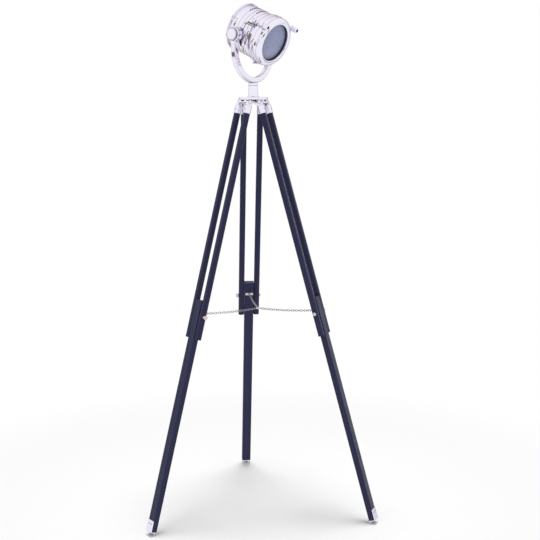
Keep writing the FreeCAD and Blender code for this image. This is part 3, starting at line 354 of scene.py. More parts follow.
nickelBase = polishedNickel("nickelBase", Matrix.Identity(4), lines=0.15)
# painted groove shade: dark lines at each groove along the drum and the ring
nickelHead = polishedNickel("nickelHead", drumFrame, lines=0.35, paintedLines=("along", -60, 100, (
    (-36.6, 0.9, 0.7), (-13, 1.1, 0.75), (2, 1.1, 0.75), (14, 1.1, 0.75), (28, 1.1, 0.7), (41, 1.1, 0.75),
    (50.2, 1.0, 0.9), (62, 1.1, 0.7), (79, 1.2, 0.75))))
# painted reflections: two dark brown lines along the yoke, near its edges
nickelYoke = polishedNickel("nickelYoke", yokeFrame, low=0.08, high=0.18, paintedLines=("across", -12, 12, (
    (-6.4, 1.2, 0.6), (5.9, 1.3, 0.6))), paintedLineTone=(0.3, 0.22, 0.2))
# painted shade and painted reflection: dark rings at the knob's groove and rim
nickelKnob = polishedNickel("nickelKnob", headFrame,
                            paintedLines=("out", 0, 24, ((16.4, 1.0, 0.9), (19.2, 0.9, 1.0))),
                            paintedLineTone=(0.1, 0.08, 0.09))
nickelScrew = polishedNickel("nickelScrew", drumFrame, dark=(0.4, 0.36, 0.37), light=(0.66, 0.61, 0.64))
darkSteel = plainFinish("darkSteel", (0.05, 0.045, 0.05), (0.11, 0.1, 0.11), 0.35, metallic=1.0)
brassTone = plainFinish("agedBrass", (0.2, 0.12, 0.06), (0.5, 0.34, 0.16), 0.3, metallic=1.0)
# black rubber, also the finish of the dark pieces that are painted shade
rubberAndShade = plainFinish("blackRubberAndShade", (0.012, 0.012, 0.013), (0.03, 0.03, 0.032), 0.7)
ceramic = plainFinish("glazedCeramic", (0.72, 0.7, 0.64), (0.85, 0.84, 0.8), 0.25)
spunAluminium = polishedNickel("spunAluminium", drumFrame, dark=(0.6, 0.6, 0.62), light=(0.85, 0.85, 0.87),
                               low=0.2, high=0.32, lines=0.6)
bronzed = plainFinish("bronzedNickel", (0.16, 0.1, 0.08), (0.42, 0.33, 0.3), 0.22, metallic=1.0, scale=120.0)
yellowBrass = plainFinish("yellowBrass", (0.6, 0.42, 0.12), (0.85, 0.66, 0.25), 0.25, metallic=1.0)
darkNickel = plainFinish("darkNickel", (0.14, 0.12, 0.12), (0.34, 0.3, 0.3), 0.2, metallic=1.0, scale=140.0)
wornNickel = plainFinish("wornNickel", (0.36, 0.29, 0.27), (0.9, 0.86, 0.88), 0.14, metallic=1.0, scale=160.0)
chainSteel = plainFinish("chainSteel", (0.2, 0.18, 0.19), (0.46, 0.43, 0.45), 0.2, metallic=1.0, scale=200.0)
lensFinish = frostedLens()
bulbGlass = bulbFinish()
woods = {name: blackLacquer("blackLacquer_" + name, legFrames[name]) for name in legNames}
legNickel = {name: polishedNickel("nickelLeg_" + name, legFrames[name]) for name in legNames}
print("finishes made")


# finishes on the CAD nodes
def paint(node, material):
    slots = nodes[node].material_slots
    for slot in slots:
        slot.material = material


def paintNodes():
    for name in nodes:
        leg = next((leg for leg in legNames if name.startswith("leg_%s_" % leg)), None)
        if leg and (name.endswith(("rail_a", "rail_b", "_lower"))):
            paint(name, woods[leg])
        elif leg and name.endswith("_glide"):
            paint(name, darkNickel)
        elif leg and name.endswith(("_clamp", "_chain_bracket")):
            paint(name, wornNickel)
        elif leg:
            paint(name, legNickel[leg])
        elif name in ("hub_plate", "pivot_bolts", "neck_bell", "pan_stud", "chain_ring", "yoke_collar"):
            paint(name, nickelBase)
        elif name.startswith("chain_"):
            paint(name, nickelBase)
        elif name == "yoke":
            paint(name, nickelYoke)
        elif name in ("tilt_knob_far", "tilt_knob_near"):
            paint(name, nickelKnob)
        else:
            paint(name, nickelHead)
    for name, material in (("lens_glass", lensFinish), ("lens_gasket", rubberAndShade), ("cable_gland", rubberAndShade),
                           ("lamp_holder", ceramic), ("bulb_glass", bulbGlass), ("bulb_cap", brassTone),
                           ("holder_bridge", darkSteel), ("lens_retainer", darkSteel),
                           ("reflector", spunAluminium), ("housing_screws", nickelScrew)):
        paint(name, material)


paintNodes()


# mesh helpers
def addPiece(name, mesh, material, body):
    mesh.name = name
    mesh.materials.clear()
    mesh.materials.append(material)
    mesh.shade_smooth()
    mesh.set_sharp_from_angle(angle=math.radians(32))
    piece = bpy.data.objects.new(name, mesh)
    scene.collection.objects.link(piece)
    if body:
        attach(piece, body)
    return piece


def meshFrom(work, placing):
    bmesh.ops.recalc_face_normals(work, faces=work.faces)
    work.transform(placing)
    mesh = bpy.data.meshes.new("part")
    work.to_mesh(mesh)
    work.free()
    return mesh


def turnedMesh(profile, placing, segments=48):
    # profile as (radius, height) in metres; one that leaves the axis is a closed ring
    work = bmesh.new()
    rings = []
    for radius, height in profile:
        count = 1 if radius < 1e-7 else segments
        turns = [2 * math.pi * index / segments for index in range(count)]
        rings.append([work.verts.new((radius * math.cos(turn), radius * math.sin(turn), height))
                      for turn in turns])
    pairs = list(zip(rings, rings[1:]))
    if len(rings[0]) > 1 and len(rings[-1]) > 1:
        pairs.append((rings[-1], rings[0]))
    for first, second in pairs:
        for index in range(segments):
            after = (index + 1) % segments
            corners = [first[index % len(first)], first[after % len(first)],
                       second[after % len(second)], second[index % len(second)]]
            work.faces.new(list(dict.fromkeys(corners)))
    return meshFrom(work, placing)


def cutMesh(outline, low, high, placing, bevel=0.0003):
    # a flat outline given a thickness and softened edges
    work = bmesh.new()
    floor = [work.verts.new((x, y, low)) for x, y in outline]
    roof = [work.verts.new((x, y, high)) for x, y in outline]
    work.faces.new(floor[::-1])
    work.faces.new(roof)
    for index in range(len(outline)):
        after = (index + 1) % len(outline)
        work.faces.new((floor[index], floor[after], roof[after], roof[index]))
    bmesh.ops.bevel(work, geom=work.edges[:], offset=bevel, segments=2, affect="EDGES")
    return meshFrom(work, placing)


def polygonOutline(count, radius):
    turns = [2 * math.pi * index / count for index in range(count)]
    return [(radius * math.cos(turn), radius * math.sin(turn)) for turn in turns]


def skinOf(names):
    points, faces = [], []
    for name in names:
        mesh = nodes[name].data
        start = len(points)
        points.extend(vertex.co.copy() for vertex in mesh.vertices)
        faces.extend([start + corner for corner in face.vertices] for face in mesh.polygons)
    return BVHTree.FromPolygons(points, faces)


def surfaceOf(node, point, direction):
    # where a node's surface is met by a ray, in the shared frame
    mesh = nodes[node].data
    tree = BVHTree.FromPolygons([vertex.co for vertex in mesh.vertices],
                                [tuple(face.vertices) for face in mesh.polygons])
    return tree.ray_cast(point, direction)[0]


headSkin = skinOf(("drum_shell", "side_covers", "rear_cover"))
ringSkin = skinOf(("front_ring",))
search = {"start": 120.0, "least": 60.0, "nudges": (0, 0.4, -0.4, 0.8, -0.8)}     # mm, from the drum's axis


def outward(angle):
    # away from the drum's axis: 0 is straight up, 90 towards the near side
    turn = math.radians(angle)
    return -(drumFrame.col[0].xyz * math.cos(turn)) - drumFrame.col[1].xyz * math.sin(turn)


def onSkin(skin, angle, axial):
    # where the skin is met coming from outside, angle in degrees and axial in mm; beside a hole if need be
    direction = outward(angle)
    for nudge in search["nudges"]:
        axis = drumFrame.translation + drumFrame.col[2].xyz * ((axial + nudge) / 1000)
        hit = skin.ray_cast(axis + direction * (search["start"] / 1000), -direction)[0]
        if hit and (hit - axis).dot(direction) > search["least"] / 1000:
            return hit - drumFrame.col[2].xyz * (nudge / 1000), direction
    raise ValueError("no skin at angle %.1f, %.1f mm" % (angle, axial))


def spotOn(skin, angle, axial):
    # Z outward, X forward along the drum
    hit, direction = onSkin(skin, angle, axial)
    forward = drumFrame.col[2].xyz
    return axesMatrix(forward, direction.cross(forward), direction, hit)


def patchMesh(skin, axials, angles, rise, sink=0.0004, edgeShare=0.55, steps=(10, 12)):
    # a thin plate that follows the skin under it, with its edges rolled down
    work = bmesh.new()
    roof, floor = [], []
    for row in range(steps[0] + 1):
        axial = axials[0] + (axials[1] - axials[0]) * row / steps[0]
        for column in range(steps[1] + 1):
            angle = angles[0] + (angles[1] - angles[0]) * column / steps[1]
            hit, direction = onSkin(skin, angle, axial)
            edge = row in (0, steps[0]) or column in (0, steps[1])
            roof.append(work.verts.new(hit + direction * rise * (edgeShare if edge else 1.0)))
            floor.append(work.verts.new(hit - direction * sink))
    wide = steps[1] + 1
    for row in range(steps[0]):
        for column in range(steps[1]):
            first = row * wide + column
            corners = (first, first + 1, first + wide + 1, first + wide)
            work.faces.new([roof[corner] for corner in corners])
            work.faces.new([floor[corner] for corner in reversed(corners)])
    border = list(range(wide))
    border += [row * wide + steps[1] for row in range(1, steps[0] + 1)]
    border += [steps[0] * wide + column for column in range(steps[1] - 1, -1, -1)]
    border += [row * wide for row in range(steps[0] - 1, 0, -1)]
    for index, corner in enumerate(border):
        after = border[(index + 1) % len(border)]
        work.faces.new((roof[corner], roof[after], floor[after], floor[corner]))
    return meshFrom(work, Matrix.Identity(4))


# drum: a dark band inside it behind the vents, which is painted shade, and what is fixed to its sides, dark
# strips of painted shadow among them
drumParts = {
    "liner": (69.4, 70.6, -30.0, 47.0),      # inner and outer radius, rear and front, mm
    # painted shadow: dark strips in the gaps under the side cover and beside the pivot bracket
    "slots": ((10.6, 15.6, 64.5, 90), (13, 38, 60.6, 64.6), (9.8, 16.4, 102, 126)),
    "trims": ((16, 38.5, 66, 68.4), (40, 44, 55.6, 59.4), (33, 36.5, 80, 94), (17.5, 20.5, 95, 116),
              (21, 24, 122, 140), (44, 47.5, 104, 126)),
    "plate": (23.5, 32.5, 70.5, 78.5),
    "nut": (44.5, 66, 3.1, -0.6, 2.2),       # axial, angle, radius, low and high face
    "disc": (44.0, 92, 7.6, 10.6),           # axial, angle, half sizes
    "discFaces": (-1.2, 1.6),
    "buttonFaces": (1.2, 2.4),
    "buttonShare": 0.6,                      # of the disc's outline
    "softEdge": 0.6,
    "brass": (-28.4, -23.6, 77, 85),
    "tip": (-27.4, -24.8, 71.8, 75.4),
    "ringDarks": ((56, 60.5, 52, 56), (63.5, 66.5, 50, 54), (79.5, 84.5, 68, 74.5)),
    "rises": {"slots": 0.3, "trims": 0.7, "plate": 1.1, "brass": 1.2, "tip": 1.2, "ringDarks": 0.9},
    "screws": ((-36, 66), (7.5, 69), (34.5, 52), (21, 48)),
    "ringScrews": ((70.5, 8), (70.5, -8), (70.5, 52), (70.5, -52)),
    "screwSize": 0.8,
}


def makeShadeLiner():
    # a dark band inside the drum: painted shade behind the vents
    inner, outer, rear, front = (value / 1000 for value in drumParts["liner"])
    profile = [(inner, rear), (outer, rear), (outer, front), (inner, front)]
    addPiece("drum_liner", turnedMesh(profile, drumFrame, 96), rubberAndShade, "head")


def addPatch(name, kind, patch, side, material):
    skin, body = (ringSkin, "bezel") if kind == "ringDarks" else (headSkin, "head")
    rear, front, low, high = patch
    rise = drumParts["rises"][kind] / 1000
    addPiece(name, patchMesh(skin, (rear, front), (side * low, side * high), rise), material, body)


def makeSideParts(side, label):
    # what is fixed to one side: 1 is the near side, -1 the far one
    # dark strips of painted shadow in the gaps, then bronzed trims
    for kind, stem, material in (("slots", "vent_slot", rubberAndShade), ("trims", "cover_trim", bronzed)):
        for index, patch in enumerate(drumParts[kind]):
            addPatch("%s_%s_%d" % (stem, label, index), kind, patch, side, material)
    addPatch("cover_plate_" + label, "plate", drumParts["plate"], side, nickelHead)
    axial, angle, radius, low, high = drumParts["nut"]
    placing = spotOn(headSkin, side * angle, axial)
    mesh = cutMesh(polygonOutline(6, radius / 1000), low / 1000, high / 1000, placing)
    addPiece("cover_nut_" + label, mesh, darkNickel, "head")
    axial, angle, halfAcross, halfDown = drumParts["disc"]
    placing = spotOn(headSkin, side * angle, axial)
    soft = drumParts["softEdge"] / 1000
    oval = [(x, y * halfDown / halfAcross) for x, y in polygonOutline(40, halfAcross / 1000)]
    for kind, share, material in (("disc", 1.0, bronzed), ("button", drumParts["buttonShare"], darkNickel)):
        low, high = (value / 1000 for value in drumParts[kind + "Faces"])
        outline = [(x * share, y * share) for x, y in oval]
        addPiece("latch_%s_%s" % (kind, label), cutMesh(outline, low, high, placing, soft), material, "head")
    for kind, material in (("brass", brassTone), ("tip", yellowBrass)):
        addPatch("%s_stop_%s" % (kind, label), kind, drumParts[kind], side, material)
    for index, patch in enumerate(drumParts["ringDarks"]):
        addPatch("ring_pad_%s_%d" % (label, index), "ringDarks", patch, side, darkNickel)


# hub: dark blocks on the lugs and between them, under the plate: painted shadow in the gaps there
hubShadowParts = {"above": 7.5, "drop": 0.2, "height": 4.2, "padWide": 16.0, "padBack": 0.4, "padProud": 0.5,
            "padEdge": 0.2, "stopWide": 12.0, "stopHalf": 1.5, "stopAt": 37.0, "stopEdge": 0.3, "reach": 50.0}


def makeHubShadowBlocks():
    sizes = {key: value / 1000 for key, value in hubShadowParts.items()}
    upright = Vector((0, 0, 1))
    under = legFrames["rear"].translation.z + sizes["above"]     # the plate's underside, over the leg pivots
    top = under - sizes["drop"]
    bottom = top - sizes["height"]
    for name in legNames:
        pivot = legFrames[name].translation
        out = Vector((pivot.x, pivot.y, 0)).normalized()
        side = Vector((-out.y, out.x, 0))
        middle = Vector((pivot.x, pivot.y, (top + bottom) / 2))
        hit = surfaceOf("hub_plate", middle + out * sizes["reach"], -out)
        for label, place, roof, low, high in (("pad", hit, top, -sizes["padBack"], sizes["padProud"]),
                                              ("stop", -out * sizes["stopAt"], under, -sizes["stopHalf"],
                                               sizes["stopHalf"])):
            half = sizes[label + "Wide"] / 2
            placing = axesMatrix(side, upright, side.cross(upright), Vector((place.x, place.y, bottom)))
            outline = [(-half, 0), (half, 0), (half, roof - bottom), (-half, roof - bottom)]
            mesh = cutMesh(outline, low, high, placing, sizes[label + "Edge"])
            # each block is painted shadow under the plate
            addPiece("hub_%s_%s" % (label, name), mesh, rubberAndShade, "base")


# lens opening: a dark sleeve on its inner wall
sleeve = {"outer": 57.66, "inner": 57.0, "mouth": 57.3, "rear": 79.4, "front": 86.0}


def makeSleeve():
    outer, inner, mouth, rear, front = (value / 1000 for value in sleeve.values())
    profile = [(inner, rear), (outer, rear), (outer, front), (mouth, front)]
    addPiece("lens_sleeve", turnedMesh(profile, drumFrame, 96), rubberAndShade, "bezel")


# clamp knobs: a dark cup in the hollow at each end, painted shade
knobHollow = {"radius": 4.74, "wall": 0.3, "depth": 5.8}


def makeKnobHollowShade(label):
    joint = joints["ring_clamp_%s_turn" % label]
    axis = Vector(joint["axis"]).normalized()
    low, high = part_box("ring_clamp_" + label)
    centre = (low + high) / 2
    tip = max((vertex.co - centre).dot(axis) for vertex in nodes["ring_clamp_" + label].data.vertices)
    start = Vector(joint["pos_m"])
    end = start + axis * ((centre - start).dot(axis) + tip)
    side = drumFrame.col[1].xyz
    placing = axesMatrix(side, axis.cross(side), axis, end)
    radius, wall, depth = (knobHollow[key] / 1000 for key in ("radius", "wall", "depth"))
    profile = [(0, -depth), (radius, -depth), (radius, -wall), (radius - wall, -wall),
               (radius - wall, wall - depth), (0, wall - depth)]
    addPiece("knob_hollow_" + label, turnedMesh(profile, placing, 32), rubberAndShade, "ring_clamp_" + label)


# fastener heads, set out by Geometry Nodes
fastener = {"radius": 2.2, "height": 1.2, "slotWide": 0.55, "slotDeep": 0.5, "steps": 8,
            "shoulder": 0.45, "crown": 0.62, "bed": 0.9}     # shares of the height and of the radius


def makeHeadMesh():
    # a domed head with a slot across it
    radius, height = fastener["radius"] / 1000, fastener["height"] / 1000
    slot, deep = fastener["slotWide"] / 2000, fastener["slotDeep"] / 1000
    steps, share = fastener["steps"], fastener["crown"]
    work = bmesh.new()
    begin = math.asin(slot / radius)
    turns = [begin + (math.pi - 2 * begin) * step / steps for step in range(steps + 1)]
    for side in (1, -1):
        rim = [(radius * math.cos(turn), side * radius * math.sin(turn)) for turn in turns]
        foot = [work.verts.new((x, y, -height / 2)) for x, y in rim]
        edge = [work.verts.new((x, y, height * fastener["shoulder"])) for x, y in rim]
        crown = [work.verts.new((x * share, side * slot + (y - side * slot) * share, height)) for x, y in rim]
        for index in range(steps):
            work.faces.new((foot[index], foot[index + 1], edge[index + 1], edge[index]))
            work.faces.new((edge[index], edge[index + 1], crown[index + 1], crown[index]))
        work.faces.new(crown)
        work.faces.new((foot[-1], foot[0], edge[0], crown[0], crown[-1], edge[-1]))
        work.faces.new(foot[::-1])
    reach = radius * fastener["bed"]
    bed = [work.verts.new((x, y, z)) for z in (-height / 2, height - deep)
           for x, y in ((-reach, -slot), (reach, -slot), (reach, slot), (-reach, slot))]
    for corners in ((3, 2, 1, 0), (4, 5, 6, 7), (0, 1, 5, 4), (1, 2, 6, 5), (2, 3, 7, 6), (3, 0, 4, 7)):
        work.faces.new([bed[corner] for corner in corners])
    return meshFrom(work, Matrix.Identity(4))


def newTree(name, inputs, result):
    tree = bpy.data.node_groups.new(name, "GeometryNodeTree")
    for label, kind in inputs:
        tree.interface.new_socket(label, in_out="INPUT", socket_type="NodeSocket" + kind)
    tree.interface.new_socket(result, in_out="OUTPUT", socket_type="NodeSocketGeometry")
    return tree, tree.nodes.new("NodeGroupInput"), tree.nodes.new("NodeGroupOutput")


def setOut(tree, source, result, points, shape, axis, spin):
    # a copy of the shape at each point, its axis along the point's facing, turned about it by spin
    facing = addNode(tree, "GeometryNodeInputNamedAttribute", {"data_type": "FLOAT_VECTOR"}, Name="facing")
    align = addNode(tree, "FunctionNodeAlignRotationToVector", {"axis": axis})
    join = tree.nodes.new("ShaderNodeCombineXYZ")
    turn = tree.nodes.new("FunctionNodeEulerToRotation")
    rotate = addNode(tree, "FunctionNodeRotateRotation", {"rotation_space": "LOCAL"})
    place = tree.nodes.new("GeometryNodeInstanceOnPoints")
    realize = tree.nodes.new("GeometryNodeRealizeInstances")
    finish = tree.nodes.new("GeometryNodeSetMaterial")
    link = tree.links.new
    link(spin, join.inputs[axis])
    link(join.outputs["Vector"], turn.inputs["Euler"])
    link(facing.outputs["Attribute"], align.inputs["Vector"])
    link(align.outputs["Rotation"], rotate.inputs["Rotation"])
    link(turn.outputs["Rotation"], rotate.inputs["Rotate By"])
    link(points, place.inputs["Points"])
    link(shape, place.inputs["Instance"])
    link(rotate.outputs["Rotation"], place.inputs["Rotation"])
    link(place.outputs["Instances"], realize.inputs["Geometry"])
    link(realize.outputs["Geometry"], finish.inputs["Geometry"])
    link(source.outputs["Finish"], finish.inputs["Material"])
    link(finish.outputs["Geometry"], result.inputs[0])
    return place


def makeFastenerTree():
    tree, source, result = newTree("fastenerHeads", (
        ("Places", "Geometry"), ("Head", "Object"), ("Size", "Float"), ("Turn", "Float"), ("Seed", "Int"),
        ("Finish", "Material")), "Heads")
    head = tree.nodes.new("GeometryNodeObjectInfo")
    spin = addNode(tree, "FunctionNodeRandomValue", {"data_type": "FLOAT"})
    link = tree.links.new
    link(source.outputs["Head"], head.inputs["Object"])
    link(source.outputs["Turn"], spin.inputs[3])
    link(source.outputs["Seed"], spin.inputs["Seed"])
    place = setOut(tree, source, result, source.outputs["Places"], head.outputs["Geometry"], "Z",
                   spin.outputs[1])
    link(source.outputs["Size"], place.inputs["Scale"])
    return tree


def placesMesh(places):
    # a vertex at each place, with the direction it faces
    mesh = bpy.data.meshes.new("places")
    mesh.from_pydata([point for point, direction in places], [], [])
    facing = mesh.attributes.new("facing", "FLOAT_VECTOR", "POINT")
    for index, (point, direction) in enumerate(places):
        facing.data[index].vector = direction
    return mesh


def runTree(tree, mesh, values):
    # one evaluated result of a tree on a mesh, as a plain mesh
    carrier = bpy.data.objects.new("carrier", mesh)
    scene.collection.objects.link(carrier)
    modifier = carrier.modifiers.new("nodes", "NODES")
    modifier.node_group = tree
    for item in tree.interface.items_tree:
        if item.in_out == "INPUT" and item.name in values:
            modifier[item.identifier] = values[item.name]
    found = carrier.evaluated_get(bpy.context.evaluated_depsgraph_get())
    made = bpy.data.meshes.new_from_object(found)
    carrier.modifiers.clear()
    bpy.data.objects.remove(carrier)
    return made


headObject = bpy.data.objects.new("fastenerPattern", makeHeadMesh())
fastenerTree = makeFastenerTree()


def makeHeads(name, places, material, body, size=1.0, seed=3, pattern=headObject):
    # places: (point, direction out of the surface)
    made = runTree(fastenerTree, placesMesh(places), {"Head": pattern, "Size": size, "Turn": math.pi,
                                                      "Seed": seed, "Finish": material})
    addPiece(name, made, material, body)


def makeDrumScrews():
    places = [onSkin(headSkin, side * angle, axial)
              for axial, angle in drumParts["screws"] for side in (1, -1)]
    rear, front, low, high = drumParts["plate"]
    rise = drumParts["rises"]["plate"] / 1000
    for side in (1, -1):
        hit, direction = onSkin(headSkin, side * (low + high) / 2, (rear + front) / 2)
        places.append((hit + direction * rise, direction))
    makeHeads("drum_screws", places, nickelScrew, "head", drumParts["screwSize"])
    ringPlaces = [onSkin(ringSkin, angle, axial) for axial, angle in drumParts["ringScrews"]]
    makeHeads("ring_screws", ringPlaces, nickelScrew, "bezel", drumParts["screwSize"], seed=5)


vents = {"rows": (-13, 14), "pitch": 7, "count": 9, "beside": 3.2}     # looked up beside the hole, on metal
ventBush = {"bore": 1.85, "flange": 2.7, "proud": 0.35, "deep": 1.2, "under": 0.2}


def makeVentBushes():
    # a black flanged bush in each vent hole
    bore, flange, proud, deep, under = (value / 1000 for value in ventBush.values())
    profile = [(0, -deep), (bore, -deep), (bore, -under), (flange, -under), (flange, proud * 0.5),
               (flange * 0.85, proud), (bore * 0.6, proud), (0, proud * 0.3)]
    bush = bpy.data.objects.new("ventPattern", turnedMesh(profile, Matrix.Identity(4), 16))
    places = []
    for row in vents["rows"]:
        for index in range(vents["count"]):
            angle = (index - (vents["count"] - 1) / 2) * vents["pitch"]
            hit, direction = onSkin(headSkin, angle, row + vents["beside"])
            places.append((hit - drumFrame.col[2].xyz * (vents["beside"] / 1000), direction))
    makeHeads("vent_bushes", places, rubberAndShade, "head", pattern=bush)
    bpy.data.objects.remove(bush)


legScrews = {
    "ferrule": (-24.0, 26.0, 30.75),      # height, half spacing, and how far out the search starts, mm
    "footPlate": (8.5, 6.5, 30.0),        # height over the plate's middle, and the same two
    "footPlateReach": 14.0,               # a hit farther than this from the plate's middle plane is left out
}


def makeLegScrews(name):
    frameHere = legFrames[name]
    out = frameHere.col[0].xyz
    low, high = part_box("leg_%s_foot_plate" % name)
    middle = frameHere.inverted() @ ((low + high) / 2)
    sides = [(side, face) for side in (1, -1) for face in (1, -1)]
    height, apart, start = (value / 1000 for value in legScrews["ferrule"])
    upper = []
    for side, face in sides:
        hit = surfaceOf("leg_%s_ferrules" % name, frameHere @ Vector((face * start, side * apart, height)),
                        -face * out)
        if hit:
            upper.append((hit, face * out))
    makeHeads("leg_%s_ferrule_screws" % name, upper, darkNickel, "leg_%s_upper" % name, 0.85)
    lift, apart, start = (value / 1000 for value in legScrews["footPlate"])
    lower = []
    for side, face in sides:
        point = frameHere @ Vector((face * start, side * apart, middle.z + lift))
        hit = surfaceOf("leg_%s_foot_plate" % name, point, -face * out)
        if hit and abs((hit - point).length - start) < legScrews["footPlateReach"] / 1000:
            lower.append((hit, face * out))
    if lower:
        makeHeads("leg_%s_foot_screws" % name, lower, darkNickel, "leg_%s_lower" % name, 0.9)


# spreader chains: links along each run, set out by Geometry Nodes
chain = {
    "count": 25, "wire": 0.72, "halfWidth": 2.9, "gap": 0.12, "sag": 3.0,
    "ring": (8.8, 0, 667.98), "ringRadius": 7.0, "ringWire": 1.2,      # in the shared frame
    "eye": (-14.7, 0, -671.5), "eyeRadius": 3.2, "eyeWire": 1.1,       # in the leg's frame
    "sides": 10,
    "outer": 3,     # links in the outer piece of each run
}


def makeChainTree():
    # long links of round wire, each a quarter turn from the one before
    tree, source, result = newTree("chainRun", (
        ("Run", "Geometry"), ("Length", "Float"), ("Width", "Float"), ("Wire", "Float"), ("Sides", "Int"),
        ("First", "Int"), ("Finish", "Material")), "Links")
    shape = tree.nodes.new("GeometryNodeCurvePrimitiveQuadrilateral")
    corner = addNode(tree, "GeometryNodeFilletCurve", {"mode": "POLY"}, Count=4)
    half = addNode(tree, "ShaderNodeMath", {"operation": "MULTIPLY"})
    half.inputs[1].default_value = 0.4999     # a little under half the width, so that the ends stay apart
    wire = tree.nodes.new("GeometryNodeCurvePrimitiveCircle")
    body = tree.nodes.new("GeometryNodeCurveToMesh")
    order = tree.nodes.new("GeometryNodeInputIndex")
    shift = addNode(tree, "ShaderNodeMath", {"operation": "ADD"})
    parity = addNode(tree, "ShaderNodeMath", {"operation": "MODULO"})
    parity.inputs[1].default_value = 2.0
    quarter = addNode(tree, "ShaderNodeMath", {"operation": "MULTIPLY"})
    quarter.inputs[1].default_value = math.pi / 2
    link = tree.links.new
    link(source.outputs["Length"], shape.inputs["Width"])
    link(source.outputs["Width"], shape.inputs["Height"])
    link(shape.outputs["Curve"], corner.inputs["Curve"])
    link(source.outputs["Width"], half.inputs[0])
    link(half.outputs["Value"], corner.inputs["Radius"])
    link(source.outputs["Wire"], wire.inputs["Radius"])
    link(source.outputs["Sides"], wire.inputs["Resolution"])
    link(corner.outputs["Curve"], body.inputs["Curve"])
    link(wire.outputs["Curve"], body.inputs["Profile Curve"])
    link(order.outputs["Index"], shift.inputs[0])
    link(source.outputs["First"], shift.inputs[1])
    link(shift.outputs["Value"], parity.inputs[0])
    link(parity.outputs["Value"], quarter.inputs[0])
    setOut(tree, source, result, source.outputs["Run"], body.outputs["Mesh"], "X", quarter.outputs["Value"])
    return tree


chainTree = makeChainTree()


def chainPlaces(name):
    # link centres from the ring out to the eye, with the run's direction at each
    sizes = {key: value / 1000 for key, value in chain.items() if isinstance(value, float)}
    centre = Vector(chain["ring"]) / 1000
    eye = legFrames[name] @ (Vector(chain["eye"]) / 1000)
    up = legFrames[name].col[2].z
    spread = math.acos(up)
    eyeHeight = eye.z - sizes["eyeRadius"] * math.sin(spread)
    flat = Vector((eye.x - centre.x, eye.y - centre.y, 0))
    direction = flat.normalized()
    start = sizes["ringRadius"] - sizes["ringWire"] - sizes["gap"]
    end = flat.length - sizes["eyeRadius"] * up + sizes["eyeWire"] + sizes["gap"]
    play = sizes["wire"] + sizes["gap"]
    pitch = (end - start - 2 * play) / chain["count"]
    inside = pitch / 2 + play
    first, last = start + inside, end - inside
    points = []
    for number in range(chain["count"]):
        share = number / (chain["count"] - 1)
        sag = 4 * sizes["sag"] * share * (1 - share)
        height = centre.z + (eyeHeight - centre.z) * share - sag
        slope = (eyeHeight - centre.z - 4 * sizes["sag"] * (1 - 2 * share)) / (last - first)
        point = Vector((centre.x, centre.y, 0)) + direction * (first + (last - first) * share)
        points.append((Vector((point.x, point.y, height)), (direction + Vector((0, 0, slope))).normalized()))
    length = 2 * (inside + sizes["wire"])
    return points, length


def makeChain(name):
    points, length = chainPlaces(name)
    split = chain["count"] - chain["outer"]
    upper, lower = "leg_%s_upper" % name, "leg_%s_lower" % name
    for label, run, first, bodies in (("inner", points[:split], 0, ("base", upper)),
                                      ("outer", points[split:], split, (upper, lower))):
        made = runTree(chainTree, placesMesh(run), {
            "Length": length, "Width": 2 * chain["halfWidth"] / 1000, "Wire": chain["wire"] / 1000,
            "Sides": chain["sides"], "First": first, "Finish": chainSteel})
        piece = addPiece("chain_%s_%s" % (name, label), made, chainSteel, None)
        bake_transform(piece)
        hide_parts("chain_" + name)


makeShadeLiner()
makeSideParts(1, "near")
makeSideParts(-1, "far")
makeDrumScrews()
makeVentBushes()
makeHubShadowBlocks()
makeSleeve()
makeKnobHollowShade("near")
makeKnobHollowShade("far")
print("head and hub fittings made")
for legName in legNames:
    makeLegScrews(legName)
    makeChain(legName)
print("leg screws and chains made")


# floor, backdrop and light
studio = {
    "floorColour": (0.95, 0.95, 0.95),
    "whiteFrom": 0.75,      # the floor turns to plain white between these distances
    "whiteTo": 1.5,
    "worldLight": 0.5,
    "overheadSize": 0.9,
    "overheadPower": 84.0,
    "overheadPlace": (0.1, 0.05, 3.9),
    "frontSize": 2.4,
    "frontPower": 9.0,
    "frontPlace": (-1.8, -2.6, 2.6),
    "cardTone": (0.09, 0.06, 0.055),
    "cardReach": 4.2,
    "cards": ((-172, 16, 0.1, 1.1), (-148, 9, 0.1, 0.95), (-122, 12, 0.1, 1.0), (-84, 8, 0.1, 0.9),
              (-62, 16, 0.1, 0.95), (-30, 10, 0.1, 1.0), (10, 24, 0.1, 1.0), (60, 12, 0.1, 0.9),
              (110, 12, 0.1, 0.9), (150, 20, 0.1, 1.0)),     # azimuth, width in degrees, low and high edge
}


def newStageObject(name, points, faces, material):
    mesh = bpy.data.meshes.new(name)
    mesh.from_pydata(points, [], faces)
    mesh.materials.append(material)
    piece = bpy.data.objects.new(name, mesh)
    scene.collection.objects.link(piece)
    return piece


